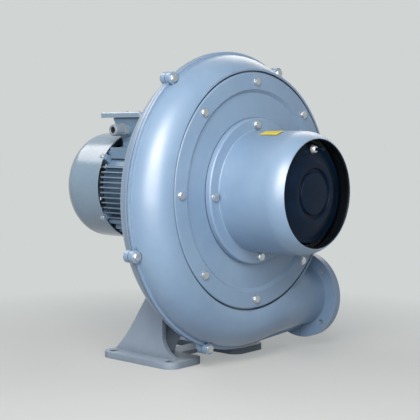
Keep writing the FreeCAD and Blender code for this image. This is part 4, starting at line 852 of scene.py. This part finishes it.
def plated_set(name: str, master: Piece, seats: Iterable[Seat]) -> None:
    """Copies of a zinc-plated fastener at its seats, as one piece that stands for its plain solids.

    Args:
        name: the name of the solids; the piece is named after one of them.
        master: the fastener at the world's origin; it is used up.
        seats: where each copy goes.
    """
    copies = [aimed(copied(master), *seat) for seat in seats]
    bpy.data.objects.remove(master)
    whole = joined(f"{name.removesuffix('s')}_set", copies)
    finished(whole, ZINC_PLATE, Body.HOUSING, "zinc_steel", name)


def uneven_roll(index: int) -> float:
    """Turn in degrees that a spanner left a fastener at, different for each."""
    return 37.0 * index % 60.0


def row_of(spots: Sequence[Point], seat_y: float, way: Way) -> list[Seat]:
    """Seats of fasteners that look along the shaft.

    Args:
        spots: their (x, z) places about the shaft.
        seat_y: where their seat lies along the shaft.
        way: which way their heads look.

    Returns:
        The seats.
    """
    return [(at_shaft(x, seat_y, z), Vector(way.value), uneven_roll(i)) for i, (x, z) in enumerate(spots)]


@dataclass(frozen=True)
class PanScrew:
    """Cross-recess pan head screw, in millimetres."""

    head_r: float = 5.5
    head: float = 3.0
    rim: float = 0.8
    crown_flatness: float = 1.15
    recess: float = 1.6
    slot_w: float = 1.3
    slot_reach: float = 1.25
    slot_taper: Triple = (0.45, 0.7, 1.0)

    def model(self) -> Piece:
        """Head along +Z from its seat.

        Returns:
            The piece.
        """
        crown_r = (self.head_r ** 2 + self.head ** 2) / (2 * self.head) * self.crown_flatness
        rim_deg = math.degrees(math.acos(self.head_r / crown_r)) + 4
        crown = arc((0, self.head - crown_r), crown_r, rim_deg, 90, 8)
        head = lathe("screw", [(0, 0), (self.head_r, 0), (self.head_r, self.rim), *crown], 36)
        for turn in (0.0, 90.0):
            blade = added("blade", bpy.ops.mesh.primitive_cube_add, size=MM,
                          location=(0, 0, self.head * MM))
            blade.scale = (self.head_r * self.slot_reach, self.slot_w, 2 * self.recess)
            blade.rotation_euler.z = math.radians(turn)
            with editing(blade) as mesh:
                pick_faces(mesh, lambda centre, normal: normal.z < -0.5)
                bpy.ops.transform.resize(value=self.slot_taper)
            cut_with(head, blade, "DIFFERENCE")
        return smoothed(head, 30)


# Sub-assemblies

@dataclass
class ScrollCasing:
    """Two cast halves clamped around a gasket, with the flanged outlet."""

    seam_y: float = 54.0
    spiral_base_r: float = 227.0
    spiral_rise: float = 0.25
    lug_standoff: float = 7.0
    lug_half: float = 11.0
    lug_angles: tuple[float, ...] = (131.0, 201.0, 254.0, 62.0, 5.0)
    outlet_lug: Point = (183.0, -151.0)
    nut_tip: float = 8.5

    def lug_spots(self) -> list[Point]:
        """Centres of the clamp lugs.

        Returns:
            The (x, z) pairs in millimetres.
        """
        spots = []
        for angle in self.lug_angles:
            radius = self.spiral_base_r + self.spiral_rise * angle + self.lug_standoff
            spots.append((radius * math.cos(math.radians(angle)), radius * math.sin(math.radians(angle))))
        return [*spots, self.outlet_lug]

    def build(self) -> None:
        """Dress the halves and model the clamp bolts and nuts."""
        dress_nodes(CASING_ENAMEL, "front_casing", "rear_casing")
        dress_nodes(SHEET_RUBBER, "casing_gasket")
        spots = self.lug_spots()
        plated_set("clamp_bolts", M8.bolt(), row_of(spots, self.seam_y - self.lug_half, Way.FRONT))
        plated_set("clamp_nuts", M8.nut(self.nut_tip), row_of(spots, self.seam_y + self.lug_half, Way.BACK))


@dataclass
class InletSilencer:
    """Dished cover with the silencer drum, its foam lining and its sleeve."""

    cover_front_y: float = 1.0
    cover_bolt_r: float = 200.0
    cover_bolts: int = 8
    flange_front_y: float = -5.0
    inlet_bolt_r: float = 121.5
    inlet_bolts: int = 4
    inlet_bolt_turn: float = 3.0
    foam_wall: float = 8.0
    foam_round: float = 2.0

    def build(self) -> None:
        """Dress the castings and the label, and model the bolts and the foam."""
        dress_nodes(CASING_ENAMEL, "front_cover")
        dress_nodes(DRUM_FINISH, "inlet_housing")
        dress_nodes(SHEET_RUBBER, "cover_gasket", "inlet_gasket")
        dress_nodes(ZINC_PLATE, "lining_sleeve")
        dress_nodes(BLACK_ENAMEL, "regulator_spider")
        spots = ring_spots(self.cover_bolt_r, self.cover_bolts)
        plated_set("cover_bolts", M8.bolt(), row_of(spots, self.cover_front_y, Way.FRONT))
        spots = ring_spots(self.inlet_bolt_r, self.inlet_bolts, self.inlet_bolt_turn)
        plated_set("inlet_bolts", M8.bolt(), row_of(spots, self.flange_front_y, Way.FRONT))
        self.foam()
        dress_nodes(LABEL_FILM, "rotation_label")

    def foam(self) -> None:
        """Model the foam ring in the space of its solid."""
        low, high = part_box("silencer_lining")
        outer_r = (high.x - low.x) / 2 / MM
        inner_r = outer_r - self.foam_wall
        length = (high.y - low.y) / MM
        soft = self.foam_round
        outline = [*arc((outer_r - soft, soft), soft, -90, 0, 4),
                   *arc((outer_r - soft, length - soft), soft, 0, 90, 4),
                   *arc((inner_r + soft, length - soft), soft, 90, 180, 4),
                   *arc((inner_r + soft, soft), soft, 180, 270, 4)]
        ring = lathe("foam_ring", outline, 96)
        aimed(ring, Vector((SHAFT_ORIGIN.x, high.y, SHAFT_ORIGIN.z)), Vector(Way.FRONT.value))
        finished(smoothed(ring), OPEN_FOAM, Body.HOUSING, "acoustic_foam", "silencer_lining")


@dataclass
class Regulator:
    """Black dished disc that slides in the silencer's mouth, with its wing nut."""

    rim_y: float = -121.0
    rim_r: float = 88.0
    sheet: float = 3.0
    dome: float = 10.0
    flat_r: float = 56.0
    groove_out_r: float = 45.0
    groove_in_r: float = 37.5
    groove_depth: float = 5.0
    boss_r: float = 13.0
    bore_r: float = 6.05
    boss_length: float = 30.0
    rod_z: float = 78.0
    rod_r: float = 3.05
    pad_r: float = 9.0
    pad_round: float = 0.8
    drill_length: float = 40.0
    nut_seat_y: float = -126.0
    fillet: float = 1.5
    shoulder_r: float = 14.0
    shoulder_inset: float = 4.0
    # Inset from the rim, and height, of the points that lead from the shoulder to the rim.
    rim_lead: tuple[Point, ...] = ((9.0, 1.0), (5.0, 0.2))
    rim_back_inset: float = 7.0
    hub_outline: tuple[Point, ...] = ((7.2, 0.0), (7.2, 1.0), (5.4, 7.4), (4.8, 8.0))
    wing_root: Point = (5.5, 4.2)
    wing_block: Triple = (3.5, 2.6, 6.4)
    # How far each stretch of a wing goes outwards and upwards, and how much taller it gets.
    wing_steps: tuple[Triple, ...] = ((2.6, 1.6, 1.0), (3.0, 3.0, 1.05), (2.6, 1.6, 0.62))
    wing_thinning: float = 0.92

    def build(self) -> None:
        """Model the disc and the wing nut."""
        finished(self.disc(), BLACK_ENAMEL, Body.REGULATOR, "black_enamel", "regulator_disc")
        finished(self.wing_nut(), DIECAST_ZINC, Body.REGULATOR, "zinc_steel", "wing_nut")

    def disc(self) -> Piece:
        """Turned disc with a ring groove, a boss behind and a pad for the nut.

        Returns:
            The disc.
        """
        top, soft = self.dome, self.fillet
        floor = top - self.groove_depth
        hollow = floor - self.sheet
        boss_end = top - self.boss_length
        bore_end = top - self.sheet - 1
        outline = [
            (0, top),
            *arc((self.groove_in_r - soft, top - soft), soft, 90, 0, 5),
            *arc((self.groove_in_r + soft, floor + soft), soft, 180, 270, 4),
            *arc((self.groove_out_r - soft, floor + soft), soft, 270, 360, 4),
            *arc((self.groove_out_r + soft, top - soft), soft, 180, 90, 5),
            *arc((self.flat_r - self.shoulder_inset, top - self.shoulder_r), self.shoulder_r, 90, 72, 4),
            *((self.rim_r - inset, height) for inset, height in self.rim_lead),
            *arc((self.rim_r - soft, -soft), soft, 90, -90, 8),
            (self.rim_r - self.rim_back_inset, -self.sheet),
            (self.flat_r, hollow), (self.boss_r, hollow), (self.boss_r, boss_end),
            (self.bore_r, boss_end), (self.bore_r, bore_end), (0, bore_end),
        ]
        disc = lathe("regulator_dish", outline, 160)
        pad_top = self.rim_y - self.nut_seat_y
        pad = added("pad", bpy.ops.mesh.primitive_cylinder_add, vertices=48, radius=self.pad_r * MM,
                    depth=(pad_top + self.sheet) * MM,
                    location=(0, self.rod_z * MM, (pad_top - self.sheet) / 2 * MM))
        with_modifier(pad, "BEVEL", width=self.pad_round * MM, segments=2, limit_method="ANGLE")
        cut_with(disc, pad, "UNION")
        drill = added("drill", bpy.ops.mesh.primitive_cylinder_add, vertices=24, radius=self.rod_r * MM,
                      depth=self.drill_length * MM, location=(0, self.rod_z * MM, 0))
        cut_with(disc, drill, "DIFFERENCE")
        return smoothed(faced_front(disc, self.rim_y, 0.0), 30)

    def wing_nut(self) -> Piece:
        """Hub with two flared wings.

        Returns:
            The nut.
        """
        hub = lathe("hub", [(self.rod_r, 0), *self.hub_outline, (self.rod_r, self.hub_outline[-1][1])], 32)
        root_x, root_z = self.wing_root
        wings = []
        for side in (1, -1):
            wing = added("wing", bpy.ops.mesh.primitive_cube_add, size=MM,
                         location=(side * root_x * MM, 0, root_z * MM))
            wing.scale = self.wing_block
            settled(wing)
            for out, up, grow in self.wing_steps:
                with editing(wing) as mesh:
                    pick_faces(mesh, lambda centre, normal: normal.x * side > 0.5)
                    bpy.ops.mesh.extrude_region_move(
                        TRANSFORM_OT_translate={"value": (side * out * MM, 0, up * MM)})
                    bpy.ops.transform.resize(value=(1, self.wing_thinning, grow))
            wings.append(with_modifier(wing, "SUBSURF", levels=2, render_levels=2))
        nut = joined("clamp_wing_nut", [hub, *wings])
        return smoothed(faced_front(nut, self.nut_seat_y, self.rod_z), 40)


@dataclass
class Impeller:
    """Cast impeller on the motor shaft."""

    def build(self) -> None:
        """Dress the impeller's solids."""
        dress_nodes(BARE_ALUMINIUM, "impeller_hub", "impeller_back_plate", "impeller_blades",
                    "impeller_shroud")
        dress_nodes(ZINC_PLATE, "impeller_washer", "impeller_nut")
        dress_nodes(GROUND_STEEL, "impeller_key", "motor_shaft")


@dataclass
class Motor:
    """Finned motor with its shields, bearings, windings and cooling fan."""

    frame_start_y: float = 114.0
    flange_bolt_r: float = 97.0
    shield_seat_y: float = 319.0
    shield_bolt_r: float = 95.0
    cowl_r: float = 106.5
    cowl_screw_y: float = 323.0
    cowl_screw_angles: tuple[float, ...] = (35.0, 145.0, 215.0, 325.0)

    def build(self) -> None:
        """Dress the motor and model its fasteners."""
        dress_nodes(MOTOR_ENAMEL, "motor_frame", "drive_end_shield", "fan_end_shield")
        dress_nodes(COWL_ENAMEL, "fan_cowl")
        dress_nodes(CORE_SHEETS, "stator_core", "rotor_core")
        dress_nodes(WOUND_COPPER, "stator_windings")
        dress_nodes(SHEET_RUBBER, "shaft_seal")
        dress_nodes(BLACK_NYLON, "cooling_fan")
        dress_nodes(ZINC_PLATE, "fan_clip")
        for end in ("drive", "fan"):
            dress_nodes(GROUND_STEEL, *(f"{end}_bearing_{part}"
                                        for part in ("outer_ring", "inner_ring", "balls")))
            dress_nodes(BEARING_BRASS, f"{end}_bearing_cage")
        for name, size, radius, seat_y in (("flange_bolts", M10, self.flange_bolt_r, self.frame_start_y),
                                           ("shield_bolts", M6, self.shield_bolt_r, self.shield_seat_y)):
            plated_set(name, size.bolt(), row_of(ring_spots(radius, 4, 45), seat_y, Way.BACK))
        seats = []
        for index, angle in enumerate(self.cowl_screw_angles):
            turn = math.radians(angle)
            out = Vector((math.cos(turn), 0, math.sin(turn)))
            seats.append((at_shaft(0, self.cowl_screw_y, 0) + out * self.cowl_r * MM, out,
                          uneven_roll(index)))
        plated_set("cowl_screws", PanScrew().model(), seats)


@dataclass
class TerminalBox:
    """Box with its lid on top of the motor, and the cable gland."""

    lid_top_z: float = 147.0
    screw_x: float = 40.0
    screw_front_y: float = 264.0
    screw_back_y: float = 299.0
    gland_y: float = 290.0
    gland_z: float = 112.0
    nut_start_x: float = -66.0
    nut_r: float = 11.5
    nut_length: float = 24.0
    bore_r: float = 6.5
    neck_r: float = 8.55
    neck_length: float = 12.1
    mouth_land: float = 1.5
    mouth_depth: float = 0.8
    edge_round: float = 0.6
    seal_r: float = 4.8
    seal_length: float = 9.5
    seal_gap: float = 0.02
    flutes: int = 12
    flute_r: float = 1.8
    flute_out: float = 1.1
    flute_length: float = 26.0
    flute_rise: float = 1.0

    def build(self) -> None:
        """Dress the box, and model the lid screws, the gland nut and its seal."""
        dress_nodes(MOTOR_ENAMEL, "terminal_box")
        dress_nodes(COWL_ENAMEL, "terminal_box_lid")
        dress_nodes(SHEET_RUBBER, "lid_gasket")
        dress_nodes(BLACK_NYLON, "terminal_block")
        dress_nodes(BEARING_BRASS, "terminal_studs")
        dress_nodes(GREY_NYLON, "gland_body")
        spots = [(side * self.screw_x, y) for y in (self.screw_front_y, self.screw_back_y)
                 for side in (-1, 1)]
        seats = [(at_shaft(x, y, self.lid_top_z), Vector(Way.UP.value), uneven_roll(i))
                 for i, (x, y) in enumerate(spots)]
        plated_set("lid_screws", PanScrew().model(), seats)
        finished(self.gland_nut(), GREY_NYLON, Body.HOUSING, "gland_nylon", "gland_nut")
        finished(self.gland_seal(), SHEET_RUBBER, Body.HOUSING, "gasket_rubber")

    def gland_nut(self) -> Piece:
        """Fluted dome nut with its round mouth.

        Returns:
            The nut.
        """
        end, soft = self.nut_length, self.edge_round
        dome = self.nut_r - self.bore_r - self.mouth_land
        outline = [(self.neck_r, 0), (self.nut_r - soft, 0), (self.nut_r, soft), (self.nut_r, end - dome),
                   *arc((self.nut_r - dome, end - dome), dome, 0, 90, 6),
                   (self.bore_r + soft, end), (self.bore_r, end - self.mouth_depth),
                   (self.bore_r, self.neck_length), (self.neck_r, self.neck_length)]
        nut = lathe("gland_dome_nut", outline, 72)
        for x, y in ring_spots(self.nut_r + self.flute_out, self.flutes):
            flute = added("flute", bpy.ops.mesh.primitive_cylinder_add, vertices=20,
                          radius=self.flute_r * MM, depth=self.flute_length * MM,
                          location=(x * MM, y * MM, self.flute_rise * MM))
            cut_with(nut, flute, "DIFFERENCE")
        return self.on_gland(nut, self.nut_start_x)

    def gland_seal(self) -> Piece:
        """Rubber seal ring inside the gland nut.

        Returns:
            The ring, open through its middle.
        """
        outer_r = self.bore_r - self.seal_gap
        soft = self.edge_round
        end = self.seal_length + soft
        outline = [(self.seal_r, 0), (outer_r, 0), (outer_r, self.seal_length), (self.bore_r - soft, end),
                   (self.seal_r + soft, end), (self.seal_r, self.seal_length)]
        ring = lathe("gland_seal_ring", outline, 48)
        return self.on_gland(ring, self.nut_start_x - self.neck_length)

    def on_gland(self, piece: Piece, start_x: float) -> Piece:
        """Set a turned piece on the gland's axis, looking to the left.

        Args:
            piece: the piece along +Z.
            start_x: where its origin goes, sideways from the shaft.

        Returns:
            The same piece.
        """
        aimed(piece, at_shaft(start_x, self.gland_y, self.gland_z), Vector(Way.LEFT.value))
        return smoothed(piece, 35)


@dataclass
class Pedestal:
    """Cast foot and the bolts that hold it to the casing."""

    bolt_x: float = 76.0
    bolt_z: tuple[float, ...] = (-146.0, -193.0)
    seat_y: float = 122.0

    def build(self) -> None:
        """Dress the casting and model its bolts."""
        dress_nodes(PEDESTAL_ENAMEL, "pedestal")
        spots = [(side * self.bolt_x, z) for z in self.bolt_z for side in (-1, 1)]
        plated_set("pedestal_bolts", M10.bolt(), row_of(spots, self.seat_y, Way.BACK))


# Studio

def looking(data: bpy.types.Light | bpy.types.Camera, place: Vector, way: Vector) -> Piece:
    """Put a lamp or the camera in its place.

    Args:
        data: the lamp or camera.
        place: where it stands.
        way: which way it looks.

    Returns:
        Its object.
    """
    holder = bpy.data.objects.new(data.name, data)
    holder.location = place
    holder.rotation_mode = "QUATERNION"
    holder.rotation_quaternion = way.to_track_quat("-Z", "Y")
    bpy.context.scene.collection.objects.link(holder)
    return holder


@dataclass(frozen=True)
class SoftBox:
    """One rectangular lamp that looks at the blower."""

    name: str
    place: Triple
    size: Point
    watts: float
    colour: str = "#FFFFFF"

    def build(self, target: Vector) -> None:
        """Hang the lamp.

        Args:
            target: the point that it looks at.
        """
        lamp = bpy.data.lights.new(self.name, "AREA")
        lamp.shape = "RECTANGLE"
        lamp.size, lamp.size_y = self.size
        lamp.energy = self.watts
        lamp.color = linear(self.colour)[:3]
        looking(lamp, Vector(self.place), target - Vector(self.place))


@dataclass
class Studio:
    """Pale floor, plain backdrop, soft lamps and the camera."""

    backdrop: str = "#D0D4D3"
    floor_colour: str = "#C4C9CB"
    bounce_colour: str = "#6F7A86"
    ambient_colour: str = "#A6C4EA"
    floor_r: float = 30.0
    shadow_r: float = 0.9
    near_glow: float = 0.45
    ambient: float = 0.11
    lamps_aim: Triple = (0.0, 0.0, 0.3)
    azimuth: float = -48.08
    elevation: float = 4.19
    distance: float = 1.957
    aim_right: float = -0.086
    aim_up: float = -0.0347
    focal_px: float = 1066.5
    image_px: float = 420.0
    lamps: list[SoftBox] = field(default_factory=lambda: [
        SoftBox("key_softbox", (-1.05, -0.92, 0.64), (1.1, 0.8), 19, "#FFF5EC"),
        SoftBox("upper_softbox", (-1.10, -0.98, 1.3), (0.7, 0.7), 20, "#FFF5EC"),
        SoftBox("back_softbox", (-0.45, 1.55, 1.9), (1.3, 1.1), 15, "#FFF8F2"),
        SoftBox("rear_softbox", (1.9, 0.7, 1.9), (1.2, 1.2), 10, "#FFF8F2"),
    ])

    def build(self) -> None:
        """Set up everything that isn't the blower."""
        bpy.context.scene.view_settings.view_transform = "Standard"
        self.world()
        self.floor()
        for lamp in self.lamps:
            lamp.build(Vector(self.lamps_aim))
        self.camera()

    def world(self) -> None:
        """Plain backdrop colour for the camera and reflections, and even light for the rest."""
        world = bpy.data.worlds.new("studio")
        bpy.context.scene.world = world
        world.use_nodes = True
        tree = world.node_tree
        tree.nodes.clear()
        light = add_node(tree, "ShaderNodeBackground", {"Color": linear(self.ambient_colour),
                                                        "Strength": self.ambient})
        shown = add_node(tree, "ShaderNodeBackground", {"Color": linear(self.backdrop), "Strength": 1.0})
        mix = add_node(tree, "ShaderNodeMixShader", {0: self.in_view(tree), 1: light, 2: shown})
        add_node(tree, "ShaderNodeOutputWorld", {"Surface": mix})

    def in_view(self, tree: Tree) -> Socket:
        """Tell the rays that show things from the rays that only light them.

        Args:
            tree: the node tree.

        Returns:
            A socket that is 1 for rays from the camera or a shiny surface, and 0 for others.
        """
        path = add_node(tree, "ShaderNodeLightPath")
        mirrored = add_node(tree, "ShaderNodeMath", {0: path.outputs["Is Glossy Ray"],
                                                     1: path.outputs["Is Transmission Ray"]},
                            operation="MAXIMUM")
        seen = add_node(tree, "ShaderNodeMath", {0: path.outputs["Is Camera Ray"], 1: mirrored},
                        operation="MAXIMUM")
        return seen.outputs["Value"]

    def floor(self) -> None:
        """Floor that takes the blower's shadow nearby and fades into the backdrop."""
        floor = added("studio_floor", bpy.ops.mesh.primitive_circle_add, vertices=96, radius=self.floor_r,
                      fill_type="NGON")
        material, tree, place = new_material("studio_floor")
        reach = add_node(tree, "ShaderNodeVectorMath", {0: place}, operation="LENGTH")
        fade = add_node(tree, "ShaderNodeMapRange",
                        {"Value": reach.outputs["Value"], "From Min": self.shadow_r / 3,
                         "From Max": self.shadow_r, "To Min": self.near_glow, "To Max": 1.0})
        seen = self.in_view(tree)
        share = add_node(tree, "ShaderNodeMath", {0: fade, 1: seen}, operation="MULTIPLY")
        paint = add_node(tree, "ShaderNodeMix", {0: seen, 6: linear(self.bounce_colour),
                                                 7: linear(self.floor_colour)}, data_type="RGBA")
        matt = add_node(tree, "ShaderNodeBsdfDiffuse", {"Color": paint.outputs[2]})
        glow = add_node(tree, "ShaderNodeEmission", {"Color": linear(self.backdrop), "Strength": 1.0})
        mix = add_node(tree, "ShaderNodeMixShader", {0: share, 1: matt, 2: glow})
        add_node(tree, "ShaderNodeOutputMaterial", {"Surface": mix})
        floor.data.materials.append(material)

    def camera(self) -> None:
        """Camera at the photograph's place."""
        turn, lift = math.radians(self.azimuth), math.radians(self.elevation)
        back = Vector((math.sin(turn) * math.cos(lift), -math.cos(turn) * math.cos(lift), math.sin(lift)))
        right = Vector((math.cos(turn), math.sin(turn), 0))
        up = back.cross(right)
        target = SHAFT_ORIGIN + self.aim_right * right + self.aim_up * up
        data = bpy.data.cameras.new("camera")
        data.sensor_width = 36.0
        data.lens = data.sensor_width * self.focal_px / self.image_px
        bpy.context.scene.camera = looking(data, target + back * self.distance, -back)


def main() -> None:
    """Build and dress the blower, one sub-assembly after the other, and then the studio."""
    logging.basicConfig(level=logging.INFO, format="%(message)s")
    for assembly in (Pedestal(), ScrollCasing(), InletSilencer(), Regulator(), Impeller(), Motor(),
                     TerminalBox(), Studio()):
        assembly.build()
        log.info("built %s", type(assembly).__name__)


if __name__ == "__main__":
    main()
